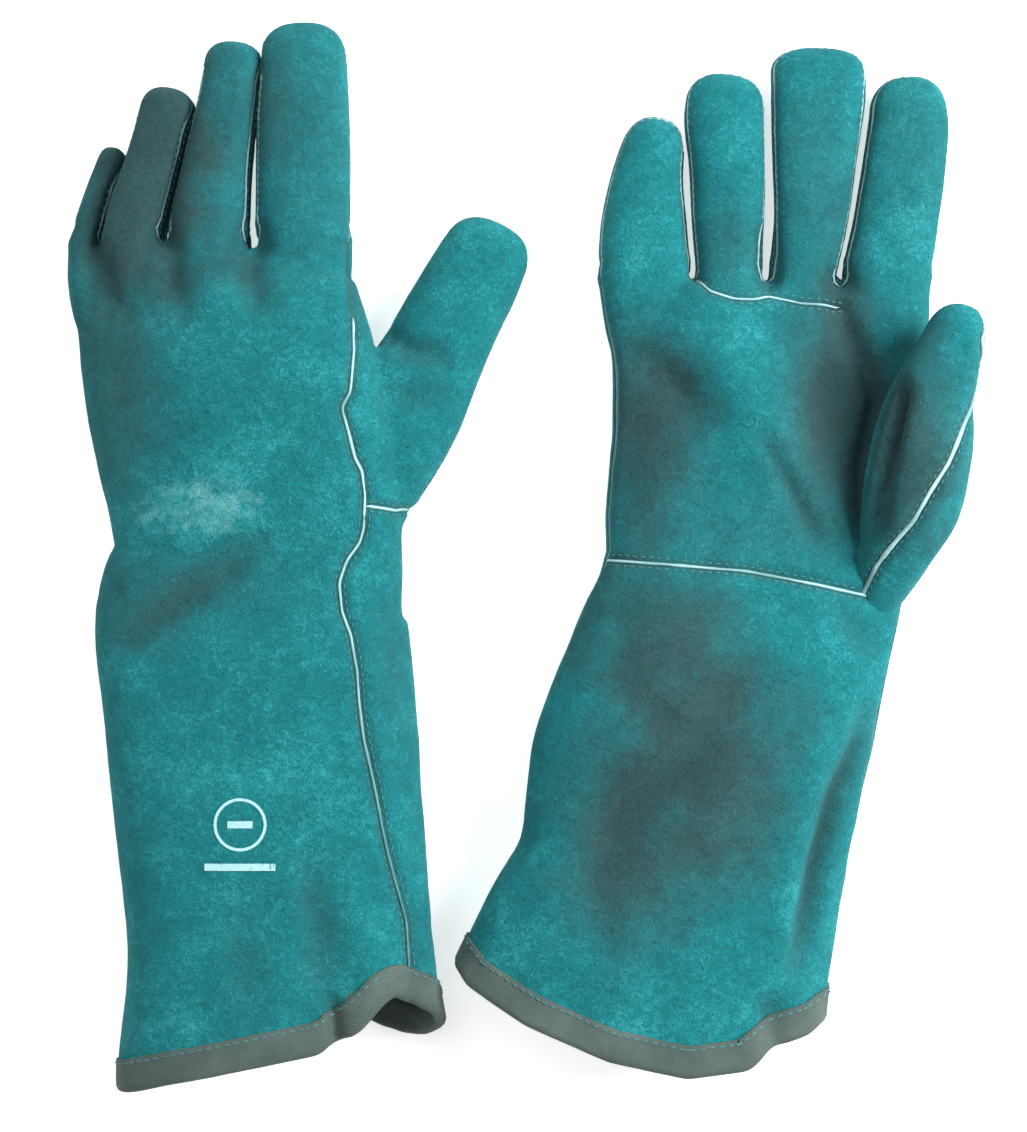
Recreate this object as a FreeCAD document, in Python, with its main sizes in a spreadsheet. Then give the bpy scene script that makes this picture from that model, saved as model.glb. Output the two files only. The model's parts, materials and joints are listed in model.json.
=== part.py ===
import FreeCAD, Part

import os

# A pair of long leather welding gloves lying side by side on a flat surface.
# The left-hand glove lies on its palm and the right-hand glove lies on its back,
# so both thumbs point to +X. Y runs from the cuff openings to the fingertips and
# Z points up. All sizes are in millimetres.

FINGERS = ("little", "ring", "middle", "index")

# ---------------------------------------------------------------- driving sizes

SHARED_SIZES = {
    "leather_thickness": 1.6,
    "lining_thickness": 1.2,
    "lining_clearance": 0.3,
    "binding_thickness": 4.0,
    "binding_height": 9.0,
    "welt_thickness": 1.6,
    "fourchette_height": 9.0,
    "finger_clearance": 0.9,
    "thumb_clearance": 1.0,
    "knuckle_gap": 8.0,
    "wrist_gap": 12.0,
    "thumb_gap": 8.0,
    "finger_rounding": 5.5,
    "thumb_rounding": 9.0,
    "hand_rounding": 12.0,
    "cuff_rounding": 14.0,
    "seam_height": 18.0,
    "cuff_height_at_hem": 62.0,
    "cuff_height_at_wrist": 40.0,
    "hand_height_at_wrist": 38.0,
    "hand_height_at_knuckles": 34.0,
    "finger_height_at_base": 29.0,
    "finger_height_at_tip": 21.0,
    "thumb_height_at_root": 29.0,
    "thumb_height_at_tip": 23.0,
    "finger_seam_height": 12.0,
    "thumb_seam_height": 13.0,
}

LEFT_SIZES = {
    "hem_x": -92.0,
    "hem_y": -187.0,
    "hem_width": 121.0,
    "hem_tilt": 12.0,
    "wrist_x": -100.0,
    "wrist_y": 8.0,
    "wrist_width": 108.0,
    "knuckle_left_x": -171.0,
    "knuckle_y": 108.0,
    "little_base_width": 18.0,
    "little_tip_width": 16.5,
    "little_length": 43.0,
    "little_lean": 4.0,
    "ring_base_width": 22.0,
    "ring_tip_width": 20.0,
    "ring_length": 66.0,
    "ring_lean": 4.0,
    "middle_base_width": 30.0,
    "middle_tip_width": 23.5,
    "middle_length": 85.0,
    "middle_lean": 2.0,
    "index_base_width": 34.5,
    "index_tip_width": 31.0,
    "index_length": 92.0,
    "index_lean": -1.4,
    "thumb_root_x": -48.5,
    "thumb_root_y": 44.0,
    "thumb_root_width": 42.0,
    "thumb_tip_width": 33.0,
    "thumb_length": 86.0,
    "thumb_turn": -27.0,
    "thumb_keep_turn": 9.7,
}

RIGHT_SIZES = {
    "hem_x": 45.5,
    "hem_y": -178.0,
    "hem_width": 134.0,
    "hem_tilt": -9.0,
    "wrist_x": 85.0,
    "wrist_y": -8.0,
    "wrist_width": 112.0,
    "knuckle_left_x": 28.0,
    "knuckle_y": 90.0,
    "little_base_width": 33.0,
    "little_tip_width": 24.0,
    "little_length": 73.0,
    "little_lean": 0.0,
    "ring_base_width": 28.0,
    "ring_tip_width": 29.0,
    "ring_length": 89.0,
    "ring_lean": -1.0,
    "middle_base_width": 25.0,
    "middle_tip_width": 31.0,
    "middle_length": 98.0,
    "middle_lean": 7.3,
    "index_base_width": 34.0,
    "index_tip_width": 30.0,
    "index_length": 88.0,
    "index_lean": 10.2,
    "thumb_root_x": 136.4,
    "thumb_root_y": 6.0,
    "thumb_root_width": 37.0,
    "thumb_tip_width": 25.0,
    "thumb_length": 85.0,
    "thumb_turn": -17.0,
    "thumb_keep_turn": 73.0,
}

REACH = 500.0

doc = FreeCAD.newDocument("WeldingGloves")
sheet = doc.addObject("Spreadsheet::Sheet", "sizes")


def fill_sheet():
    """Write every driving size into the sheet, one aliased cell each."""
    rows = dict(SHARED_SIZES, reach=REACH)
    for side, table in (("left", LEFT_SIZES), ("right", RIGHT_SIZES)):
        rows.update({f"{side}_{name}": value for name, value in table.items()})
    for row, (alias, value) in enumerate(rows.items(), start=1):
        sheet.set(f"A{row}", alias)
        sheet.set(f"B{row}", str(value))
        sheet.setAlias(f"B{row}", alias)
    doc.recompute()


def cell(name):
    return f"sizes.{name}"


def bind(item, **expressions):
    for prop, expression in expressions.items():
        item.setExpression(prop.replace("__", "."), expression)


# ------------------------------------------------------------------ frames


class Frame:
    """A place in the plan with a turn about Z, all three held as expressions."""

    def __init__(self, x_at="0", y_at="0", z_at="0", turn="0"):
        self.x_at = x_at
        self.y_at = y_at
        self.z_at = z_at
        self.turn = turn

    def place(self, item, x_in="0", y_in="0", z_in="0"):
        """Put item's own origin at the point (x_in, y_in, z_in) of this frame."""
        cosine = f"cos(({self.turn}) * 1 deg)"
        sine = f"sin(({self.turn}) * 1 deg)"
        bind(
            item,
            Placement__Base__x=f"({self.x_at}) + ({x_in}) * {cosine} - ({y_in}) * {sine}",
            Placement__Base__y=f"({self.y_at}) + ({x_in}) * {sine} + ({y_in}) * {cosine}",
            Placement__Base__z=f"({self.z_at}) + ({z_in})",
            Placement__Rotation__Angle=self.turn,
        )


WORLD = Frame()


# ------------------------------------------------------------------ hollow shells


def hollow_shell(name, near, far, wall, rounding, closed_end, inset="0", frame=WORLD):
    """A tapered tube with rounded long edges, open at the near end.

    near and far each give y, the x of both sides and the top as expressions. A tube
    with a closed far end is rounded there too. inset draws the outside of the tube
    inwards, so that a lining fits inside a leather shell of the same sizes.
    """
    body = doc.addObject("PartDesign::Body", name)
    blank = body.newObject("PartDesign::AdditiveWedge", f"{name}_blank")
    end_inset = inset if closed_end else "0"
    bind(
        blank,
        Ymin=near["y"],
        Xmin=f"{near['left']} + {inset}",
        Xmax=f"{near['right']} - ({inset})",
        Zmin=inset,
        Zmax=f"{near['top']} - ({inset})",
        Ymax=f"{far['y']} - ({end_inset})",
        X2min=f"{far['left']} + {inset}",
        X2max=f"{far['right']} - ({inset})",
        Z2min=inset,
        Z2max=f"{far['top']} - ({inset})",
    )
    doc.recompute()
    box = blank.Shape.BoundBox
    rounded_edges = []
    for number, edge in enumerate(blank.Shape.Edges, start=1):
        spans = [vertex.Point.y for vertex in edge.Vertexes]
        at_far_end = min(spans) > box.Center.y
        crosses = max(spans) > box.Center.y > min(spans)
        if crosses or (closed_end and at_far_end):
            rounded_edges.append(f"Edge{number}")
    fillet = body.newObject("PartDesign::Fillet", f"{name}_rounding")
    fillet.Base = (blank, rounded_edges)
    fillet.setExpression("Radius", rounding)
    doc.recompute()
    open_faces = []
    for number, face in enumerate(fillet.Shape.Faces, start=1):
        normal = face.normalAt(0.5, 0.5) if face.Surface.TypeId == "Part::GeomPlane" else None
        if normal is None:
            continue
        faces_near = normal.y < -0.999
        faces_far = normal.y > 0.999
        if faces_near or (faces_far and not closed_end):
            open_faces.append(f"Face{number}")
    hollow = body.newObject("PartDesign::Thickness", f"{name}_hollow")
    hollow.Base = (fillet, open_faces)
    hollow.Reversed = True
    hollow.setExpression("Value", wall)
    frame.place(body)
    doc.recompute()
    return body


# ------------------------------------------------------------------ cutting blocks


def block(name, frame=WORLD, x=None, y=None, z=None):
    """A box in a frame; each of x, y and z is a (low, high) pair of expressions.

    A direction left out runs past the whole glove both ways.
    """
    everything = (f"-{cell('reach')}", cell("reach"))
    spans = [span or everything for span in (x, y, z)]
    box = doc.addObject("Part::Box", name)
    lows = [low for low, high in spans]
    for prop, (low, high) in zip(("Length", "Width", "Height"), spans):
        box.setExpression(prop, f"({high}) - ({low})")
    frame.place(box, *lows)
    return box


def piece(label, shell, keep=(), cut=()):
    """The part of a shell inside every keep block and outside every cut block."""
    result = shell
    if keep:
        result = doc.addObject("Part::MultiCommon", f"{label}_inside")
        result.Shapes = [shell, *keep]
    for number, tool in enumerate(cut, start=1):
        cut_result = doc.addObject("Part::Cut", f"{label}_cut_{number}")
        cut_result.Base = result
        cut_result.Tool = tool
        result = cut_result
    result.Label = label
    return result


# ------------------------------------------------------------------ one glove


class Glove:
    """Builds every piece of one glove from the sizes of its side."""

    def __init__(self, side, palm_is_up):
        self.side = side
        self.palm_is_up = palm_is_up
        self.pieces = []

    def size(self, name):
        return cell(f"{self.side}_{name}")

    def name(self, words):
        return f"{self.side}_{words}"

    def add(self, words, shell, keep=(), cut=()):
        self.pieces.append(piece(self.name(words), shell, keep, cut))

    def halves(self, words, seam, frame=WORLD):
        """Blocks for the back and the palm side of a shell split at the seam height."""
        upper = block(self.name(f"{words}_upper_block"), frame, z=(seam, cell("reach")))
        lower = block(self.name(f"{words}_lower_block"), frame, z=(f"-{cell('reach')}", seam))
        return (lower, upper) if self.palm_is_up else (upper, lower)

    def wall_ends(self):
        """Inset of a lining's outside and the wall thicknesses, as expressions."""
        inset = f"({cell('leather_thickness')} + {cell('lining_clearance')})"
        return inset, cell("leather_thickness"), cell("lining_thickness")

    def build_cuff(self):
        inset, leather, lining = self.wall_ends()
        overrun = f"{self.size('hem_width')} / 2"
        wrist_end = f"{self.size('wrist_y')} - {cell('wrist_gap')} / 2"
        near = {
            "y": f"{self.size('hem_y')} - ({overrun})",
            "left": f"{self.size('hem_x')} - {self.size('hem_width')} / 2",
            "right": f"{self.size('hem_x')} + {self.size('hem_width')} / 2",
            "top": cell("cuff_height_at_hem"),
        }
        far = {
            "y": wrist_end,
            "left": f"{self.size('wrist_x')} - {self.size('wrist_width')} / 2",
            "right": f"{self.size('wrist_x')} + {self.size('wrist_width')} / 2",
            "top": cell("cuff_height_at_wrist"),
        }
        rounding = cell("cuff_rounding")
        shell = hollow_shell(self.name("cuff_shell"), near, far, leather, rounding, False)
        lined = hollow_shell(
            self.name("cuff_lining_shell"), near, far, lining,
            f"{rounding} - {inset}", False, inset)
        rim = hollow_shell(
            self.name("binding_shell"), near, far, cell("binding_thickness"), rounding, False)
        hem = Frame(self.size("hem_x"), self.size("hem_y"), "0", self.size("hem_tilt"))
        hem_block = block(self.name("hem_block"), hem, y=("0", cell("binding_height")))
        beyond_hem = block(self.name("cuff_block"), hem, y=(cell("binding_height"), cell("reach")))
        welt = cell("welt_thickness")
        seam = cell("seam_height")
        welt_block = block(
            self.name("cuff_welt_block"),
            x=(self.size("wrist_x"), cell("reach")),
            z=(f"{seam} - {welt} / 2", f"{seam} + {welt} / 2"))
        wrist_block = block(
            self.name("wrist_welt_block"), y=(f"{wrist_end} - {welt}", cell("reach")))
        back, palm = self.halves("cuff", seam)
        self.add("hem_binding", rim, [hem_block])
        self.add("cuff_back", shell, [beyond_hem, back], [welt_block])
        self.add("cuff_palm", shell, [beyond_hem, palm], [welt_block, wrist_block])
        self.add("cuff_thumb_side_welt", shell, [beyond_hem, welt_block])
        self.add("wrist_welt", shell, [wrist_block, palm], [welt_block])
        self.add("cuff_lining", lined, [beyond_hem])

    def build_hand(self):
        inset, leather, lining = self.wall_ends()
        widths = " + ".join(self.size(f"{finger}_base_width") for finger in FINGERS)
        gaps = f"{len(FINGERS) - 1} * {cell('finger_clearance')}"
        near = {
            "y": f"{self.size('wrist_y')} + {cell('wrist_gap')} / 2",
            "left": f"{self.size('wrist_x')} - {self.size('wrist_width')} / 2",
            "right": f"{self.size('wrist_x')} + {self.size('wrist_width')} / 2",
            "top": cell("hand_height_at_wrist"),
        }
        far = {
            "y": f"{self.size('knuckle_y')} - {cell('knuckle_gap')} / 2",
            "left": self.size("knuckle_left_x"),
            "right": f"{self.size('knuckle_left_x')} + {widths} + {gaps}",
            "top": cell("hand_height_at_knuckles"),
        }
        rounding = cell("hand_rounding")
        shell = hollow_shell(self.name("hand_shell"), near, far, leather, rounding, False)
        lined = hollow_shell(
            self.name("hand_lining_shell"), near, far, lining,
            f"{rounding} - {inset}", False, inset)
        seam = cell("seam_height")
        welt = cell("welt_thickness")
        welt_span = (f"{seam} - {welt} / 2", f"{seam} + {welt} / 2")
        thumb_side = block(
            self.name("thumb_side_welt_block"), x=(self.size("wrist_x"), cell("reach")), z=welt_span)
        little_side = block(
            self.name("little_side_welt_block"),
            x=(f"-{cell('reach')}", self.size("wrist_x")), z=welt_span)
        back, palm = self.halves("hand", seam)
        self.add("hand_back", shell, [back], [thumb_side, little_side])
        self.add("palm", shell, [palm], [thumb_side, little_side])
        self.add("thumb_side_welt", shell, [thumb_side])
        self.add("little_side_welt", shell, [little_side])
        self.add("hand_lining", lined, [block(self.name("hand_lining_block"))])

    def build_finger(self, finger, left_edge):
        inset, leather, lining = self.wall_ends()
        base_width = self.size(f"{finger}_base_width")
        tip_width = self.size(f"{finger}_tip_width")
        centre = f"({left_edge}) + {base_width} / 2"
        base_y = f"{self.size('knuckle_y')} + {cell('knuckle_gap')} / 2"
        lean = self.size(f"{finger}_lean")
        near = {
            "y": base_y,
            "left": f"{centre} - {base_width} / 2",
            "right": f"{centre} + {base_width} / 2",
            "top": cell("finger_height_at_base"),
        }
        far = {
            "y": f"{self.size('knuckle_y')} + {self.size(f'{finger}_length')}",
            "left": f"{centre} + {lean} - {tip_width} / 2",
            "right": f"{centre} + {lean} + {tip_width} / 2",
            "top": cell("finger_height_at_tip"),
        }
        rounding = cell("finger_rounding")
        shell = hollow_shell(self.name(f"{finger}_shell"), near, far, leather, rounding, True)
        lined = hollow_shell(
            self.name(f"{finger}_lining_shell"), near, far, lining,
            f"{rounding} - {inset}", True, inset)
        seam = cell("finger_seam_height")
        band = cell("fourchette_height")
        # The fourchette is the side strip towards the neighbouring fingers: the two
        # outer fingers have it on their inner side only.
        inner_side = {"little": (centre, cell("reach")), "index": (f"-{cell('reach')}", centre)}
        strip = block(
            self.name(f"{finger}_strip_block"), x=inner_side.get(finger),
            z=(f"{seam} - {band} / 2", f"{seam} + {band} / 2"))
        back, front = self.halves(finger, seam)
        self.add(f"{finger}_back", shell, [back], [strip])
        self.add(f"{finger}_front", shell, [front], [strip])
        self.add(f"{finger}_fourchette", shell, [strip])
        self.add(f"{finger}_lining", lined, [block(self.name(f"{finger}_lining_block"))])

    def build_fingers(self):
        left_edge = self.size("knuckle_left_x")
        for finger in FINGERS:
            self.build_finger(finger, left_edge)
            width = self.size(f"{finger}_base_width")
            left_edge = f"{left_edge} + {width} + {cell('finger_clearance')}"

    def build_thumb(self):
        inset, leather, lining = self.wall_ends()
        # The thumb of the glove that lies palm up rests over the edge of its palm.
        rise = "0"
        if self.palm_is_up:
            rise = f"{cell('hand_height_at_wrist')} + {cell('thumb_clearance')}"
        root = {"x_at": self.size("thumb_root_x"), "y_at": self.size("thumb_root_y"), "z_at": rise}
        along = Frame(**root, turn=self.size("thumb_turn"))
        root_cut = Frame(**root, turn=self.size("thumb_keep_turn"))
        root_width = self.size("thumb_root_width")
        tip_width = self.size("thumb_tip_width")
        near = {
            "y": f"-{root_width}",
            "left": f"-{root_width} / 2",
            "right": f"{root_width} / 2",
            "top": cell("thumb_height_at_root"),
        }
        far = {
            "y": self.size("thumb_length"),
            "left": f"-{tip_width} / 2",
            "right": f"{tip_width} / 2",
            "top": cell("thumb_height_at_tip"),
        }
        rounding = cell("thumb_rounding")
        shell = hollow_shell(
            self.name("thumb_shell"), near, far, leather, rounding, True, frame=along)
        lined = hollow_shell(
            self.name("thumb_lining_shell"), near, far, lining,
            f"{rounding} - {inset}", True, inset, along)
        beyond_root = block(
            self.name("thumb_block"), root_cut, x=(f"{cell('thumb_gap')} / 2", cell("reach")))
        back, front = self.halves("thumb", cell("thumb_seam_height"), Frame(z_at=rise))
        self.add("thumb_back", shell, [beyond_root, back])
        self.add("thumb_front", shell, [beyond_root, front])
        self.add("thumb_lining", lined, [beyond_root])

    def build(self):
        self.build_cuff()
        self.build_hand()
        self.build_fingers()
        self.build_thumb()
        return self.pieces


# ------------------------------------------------------------------ whole pair


def check(pieces):
    """Stop if any object failed or any piece is empty or not a valid solid."""
    for item in doc.Objects:
        if "Invalid" in item.State or "Error" in item.State:
            raise RuntimeError(f"{item.Name} failed: {item.State}")
    for item in pieces:
        shape = item.Shape
        if shape.isNull() or not shape.isValid() or not shape.Solids:
            raise RuntimeError(f"{item.Label} has no valid solid")


def write(pieces):
    os.makedirs("parts", exist_ok=True)
    for item in pieces:
        item.Shape.exportStep(f"parts/{item.Label}.step")
        print(f"{item.Label}: {len(item.Shape.Solids)} solid, {item.Shape.Volume:.0f} mm3")


fill_sheet()
all_pieces = Glove("left", palm_is_up=False).build()
all_pieces += Glove("right", palm_is_up=True).build()
doc.recompute()
check(all_pieces)
write(all_pieces)
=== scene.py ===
import json
import math

import bpy
import numpy as np
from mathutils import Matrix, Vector, noise


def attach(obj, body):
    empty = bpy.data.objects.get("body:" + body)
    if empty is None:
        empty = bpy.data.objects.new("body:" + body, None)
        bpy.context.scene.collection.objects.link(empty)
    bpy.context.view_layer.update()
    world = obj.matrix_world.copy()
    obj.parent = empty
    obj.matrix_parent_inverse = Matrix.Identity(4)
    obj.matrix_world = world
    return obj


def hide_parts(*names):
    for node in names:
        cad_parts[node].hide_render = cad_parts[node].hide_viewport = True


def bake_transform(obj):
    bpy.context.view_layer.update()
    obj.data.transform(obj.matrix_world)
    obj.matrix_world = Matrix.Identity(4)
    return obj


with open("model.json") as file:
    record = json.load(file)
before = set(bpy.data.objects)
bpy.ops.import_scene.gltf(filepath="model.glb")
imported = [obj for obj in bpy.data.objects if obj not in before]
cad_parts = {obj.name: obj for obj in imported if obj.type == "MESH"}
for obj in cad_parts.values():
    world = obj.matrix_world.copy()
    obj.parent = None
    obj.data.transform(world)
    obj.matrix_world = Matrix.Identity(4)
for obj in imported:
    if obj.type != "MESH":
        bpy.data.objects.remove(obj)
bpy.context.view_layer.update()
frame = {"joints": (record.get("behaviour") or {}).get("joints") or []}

# Lengths in the tables below are in millimetres; the meshes are in metres.
# The left glove lies back up and the right glove lies palm up. In both, X runs
# towards the thumb, Y towards the fingertips and Z up.
MM = 0.001
FINGERS = ("little", "ring", "middle", "index")
FAN_STEP = 4.5

# ------------------------------------------------------------------ the two gloves' shapes

# A limb is a soft tube: rows of x, y, z, width, height and roll in degrees along its
# middle line, with the length of its rounded tip.
LEFT = {
    "cuff": [
        (-90, -222, 30, 124, 60, 0),
        (-91, -185, 29, 121, 58, 0),
        (-91.5, -160, 28, 116, 55, 0),
        (-93.2, -132, 27, 113, 53, 0),
        (-97.4, -92, 26, 115, 50, 0),
        (-101.4, -47, 24, 117, 46, -2),
        (-103.5, -24, 22, 117, 42, -4),
        (-100.5, 2, 21, 108, 40, -5),
        (-101.8, 17, 22, 109.5, 42, -6),
        (-108, 50, 23, 111.5, 43, -8),
        (-114.3, 80, 23, 109, 41, -8),
        (-117.6, 101, 21, 103, 35, -8),
        (-116.4, 116, 19.5, 95, 30, -8),
    ],
    "little": ([(-156, 74, 15, 14, 26, -6), (-163, 92, 13.5, 15.6, 26, -5), (-166.4, 105, 12.5, 13.4, 25, -4),
                (-166.9, 117, 11.5, 11.6, 22, -4), (-162.6, 134, 10, 11.4, 19, -4), (-155.6, 154, 8.5, 10.6, 15, -4)], 6),
    "ring": ([(-148, 88, 19, 24, 31, -6), (-148.6, 118, 17.5, 23.4, 30, -8),
              (-141, 148, 14.5, 20.8, 26, -8), (-134, 176, 11.5, 20.4, 21, -8)], 9),
    "middle": ([(-119, 84, 20, 30, 33, -4), (-119.9, 118, 20, 31, 32, -4), (-116.4, 148, 17.5, 26, 28, -4),
                (-112.6, 173, 14.5, 23, 25, -4), (-109.8, 193.5, 12.5, 22.4, 22, -4)], 10),
    "index": ([(-84, 88, 22, 35, 35, 0), (-84.6, 120, 21, 35.4, 32, 0),
               (-84.6, 162, 18, 35, 28, 0), (-84.8, 200.5, 14, 31, 23, 0)], 13),
    "thumb": ([(-82, 8, 20, 48, 31, 0), (-66, 30, 19, 53, 33, 0), (-50, 50, 18, 46, 32, 0),
               (-33.5, 79, 17, 38, 29, 0), (-20.5, 104, 15, 34.5, 26, 0), (-10.5, 125, 13, 31, 23, 0)], 13),
    "hem": [(-165, -201), (-150, -197), (-134, -192.5), (-100, -185.5), (-76, -180.5), (-69, -175), (-50, -171),
            (-38, -174), (-20, -173)],
    "finger_ends": [(-190, 116), (-104, 117), (-40, 117)],
    "gaps": [[(-160.6, 114), (-157.2, 132), (-150.2, 154), (-146, 176)],
             [(-136.3, 118), (-130.4, 148), (-124.2, 175), (-121.5, 196)],
             [(-103, 118), (-103, 165), (-100, 185), (-98.6, 203)]],
    "half_gaps": (0.2, 0.2, -0.4),
    "wrist_seam": [(-180, 8), (-100, 10), (-62, 17.5), (-58.6, 17.7), (-46.6, 16.2), (-30, 15)],
    "thumb_side_seam": [(-41, -230), (-42, -180), (-43.3, -151), (-44.4, -135), (-51, -111), (-56, -88), (-60.4, -67.7),
                        (-62, -55), (-63, -43), (-65.3, -29.7), (-68.6, -21), (-69.8, -10.6), (-67, -2.4), (-62, 4.3),
                        (-60.4, 10), (-60, 22), (-61.2, 30.8), (-63.8, 35.6), (-66, 45), (-68.6, 54), (-65.3, 60),
                        (-63.8, 75.5), (-64, 84.5), (-65, 100), (-66, 112), (-66.8, 135)],
    "fan_limit": -50,
    "edge_seam_rise": 0.0,
    "fourchette_rise": 5.5,
    "folds": [
        ([(-156, -36), (-136.5, -20.7), (-115, -6), (-96, 6)], -2.6, 7.0),
        ([(-152, -14), (-128, 2), (-104, 16)], 1.6, 9.0),
        ([(-71, -196), (-70, -176), (-72, -160)], -3.2, 3.2),
        ([(-75, -168), (-76, -140), (-82, -108)], -1.7, 7.0),
        ([(-60, -186), (-58, -150), (-63, -120)], 1.5, 6.0),
        ([(-98, -180), (-104, -150), (-106, -120)], -0.9, 8.0),
        ([(-136.5, 126), (-133, 104), (-127, 84)], -2.0, 6.0),
        ([(-104, 126), (-103, 104), (-100, 86)], -2.2, 6.0),
        ([(-160, 118), (-156, 98), (-150, 84)], -1.8, 5.0),
        ([(-60, 86), (-45, 77), (-27, 72)], -2.2, 5.0),
        ([(-55, 60), (-40, 58), (-26, 64)], -1.0, 5.0),
        ([(-56, -20), (-52, -60), (-54, -100)], 1.2, 6.0),
        ([(-140, 92), (-118, 97), (-96, 98)], 0.9, 7.0),
    ],
    "hollows": [(-147, 60, 16, 34, -1.6), (-110, -12, 24, 12, -1.0), (-50, -40, 8, 30, -1.2)],
    # darker patches, partly painted shade and partly dirt: x, y, reach in x, reach in y, amount
    "shade_and_dirt_patches": [(-139, 154, 18, 38, 1.6), (-162, 128, 10, 30, 1.1), (-156, 70, 16, 48, 0.45), (-114, 164, 15, 40, 0.4),
               (-128, 112, 28, 18, 0.45), (-146, -18, 20, 18, 0.4), (-84, 150, 20, 46, 0.3), (-95, 176, 7, 26, 0.3)],
}

RIGHT = {
    "cuff": [
        (25, -222, 29, 160, 58, 0),
        (35, -192, 29, 150, 58, 0),
        (46, -155, 28, 136, 56, 0),
        (56.2, -122, 27, 123, 53, 0),
        (62.5, -84, 25, 124, 49, 0),
        (73.2, -50, 23, 118.5, 45, 0),
        (83.2, -17, 20.5, 113, 41, 0),
        (85.4, -4, 19.5, 111.5, 38, 0),
        (84, 15, 19, 109, 37, 0),
        (86, 45, 18.5, 110, 36, 0),
        (88.6, 74, 17.5, 115.5, 34, 0),
        (89, 91, 16, 121, 31, 0),
        (89, 103, 15, 120, 27, 0),
    ],
    "little": ([(50, 62, 16, 26, 28, 0), (45.6, 86, 15.5, 33, 29, 0), (44.2, 105, 15, 34.6, 28, 0),
                (43.8, 125, 15, 32.6, 26, 0), (45.2, 142, 15, 27.6, 25, 0), (50.2, 165, 15, 20.5, 20, 0)], 12),
    "ring": ([(77, 76, 15.5, 25, 29, 0), (76.2, 105, 15, 25.4, 29, 0), (75.4, 126, 15.5, 27.4, 28, 0),
              (75.2, 148, 15.5, 29.6, 26, 0), (74.6, 168, 15, 31, 24, 0), (76.4, 181.5, 14.5, 27.5, 21, 0)], 12),
    "middle": ([(103.5, 76, 15.5, 25, 29, 0), (103.9, 105, 15, 25.6, 29, 0), (106.9, 126, 15.5, 28, 28, 0),
                (108.2, 150, 15.5, 32.2, 27, 0), (109.4, 174, 15, 36.4, 25, 0), (109.8, 191.5, 14.5, 35, 21, 0)], 9.5),
    "index": ([(134, 76, 16, 33, 29, 0), (135.4, 105, 15.5, 33.4, 29, 0), (138.8, 126, 15.5, 32, 28, 0),
               (141.6, 145, 15.5, 31.4, 26, 0), (143.6, 164, 15, 30.2, 24, 0), (142.4, 180.5, 14.5, 26, 21, 0)], 13),
    "thumb": ([(124, -28, 19, 14, 20, 0), (132, -10, 25, 22, 28, 0), (138.5, 6, 35, 30, 31, 0),
               (141.8, 21, 45, 35.5, 32, 0), (144, 36, 49, 36.5, 31, 0), (146.6, 52, 50, 33.5, 29, 0),
               (152, 67, 51, 27.5, 26, 0), (161, 90.5, 52, 17, 20, 0)], 11),
    "hem": [(-48, -131), (-34, -141), (-22, -157), (0, -170.5), (30, -183.5), (58, -189.5), (80, -187), (91, -178.5),
            (104, -175), (120, -164.5)],
    "finger_ends": [(10, 103), (180, 103)],
    "gaps": [[(62.8, 103), (61, 125), (59.6, 146), (58, 170)],
             [(90, 103), (91, 126), (90.6, 150), (90.6, 190)],
             [(117.4, 103), (121.9, 126), (125, 145), (128.2, 172), (129.5, 192)]],
    "half_gaps": (0.2, 1.4, -0.3),
    "wrist_seam": [(10, -1), (30, -2), (58, -4), (81, -6), (106, -11), (132, -16.6), (150, -18)],
    "thumb_side_seam": [(190, -230), (190, 200)],
    "fan_limit": 300,
    "edge_seam_rise": 3.0,
    "fourchette_rise": 1.5,
    "thumb_welt": [(118, -30), (126.8, -8), (128, -5), (132, 1.3), (140, 11.4), (146, 22.6), (152.6, 33),
                   (159.6, 49), (165.6, 61), (166.7, 72), (165.6, 78), (168, 84), (167, 90), (167, 120)],
    "finger_base_seam": [(61, 112), (63.8, 102), (68, 97.5), (76.8, 95), (85, 95), (89.5, 96.5), (101.8, 94), (118, 94)],
    "folds": [
        ([(115, 108), (117, 92), (125, 75), (133, 58), (129, 40), (125, 20), (127, 2)], -4.6, 5.0),
        ([(60, 104), (72, 76), (92, 44), (116, 8)], 2.4, 15.0),
        ([(85, 46), (96, 26), (108, 3)], -1.6, 4.0),
        ([(90, 124), (90, 106), (90, 96)], -2.2, 4.0),
        ([(36, 78), (52, 66), (68, 44)], -2.0, 9.0),
        ([(128, -54), (114.5, -90.5), (107, -114), (98, -156)], -4.4, 4.6),
        ([(112, -60), (100, -100), (92, -150)], 1.6, 8.0),
        ([(58, -60), (38, -92), (17.5, -126)], -2.6, 12.0),
        ([(90, -34), (66, -62), (52, -92)], -1.4, 9.0),
        ([(112, -16), (122, -30), (130, -40)], -1.2, 6.0),
        ([(91, -192), (90, -176), (88, -160)], -2.2, 5.0),
        ([(20, -168), (36, -150), (46, -128)], 1.2, 10.0),
    ],
    "hollows": [(113, 54, 15, 34, -5.5), (46, 50, 16, 28, -2.6), (150, 150, 10, 20, 0.6)],
    # darker patches, partly painted shade and partly dirt: x, y, reach in x, reach in y, amount
    "shade_and_dirt_patches": [(112, 56, 18, 42, 0.55), (42, 46, 20, 34, 0.75), (76, 112, 13, 18, 0.4), (118, 84, 9, 32, 0.45),
               (142, 44, 17, 34, 1.0), (48, -28, 30, 26, 0.9), (64, -60, 30, 28, 0.65), (50, -90, 34, 34, 0.75),
               (38, -122, 26, 26, 0.6), (82, 8, 50, 12, 0.3), (80, -84, 26, 34, 0.35), (108, 140, 16, 34, 0.35),
               (146, 146, 16, 36, 0.25)],
}


# ------------------------------------------------------------------ curves and tubes


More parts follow.
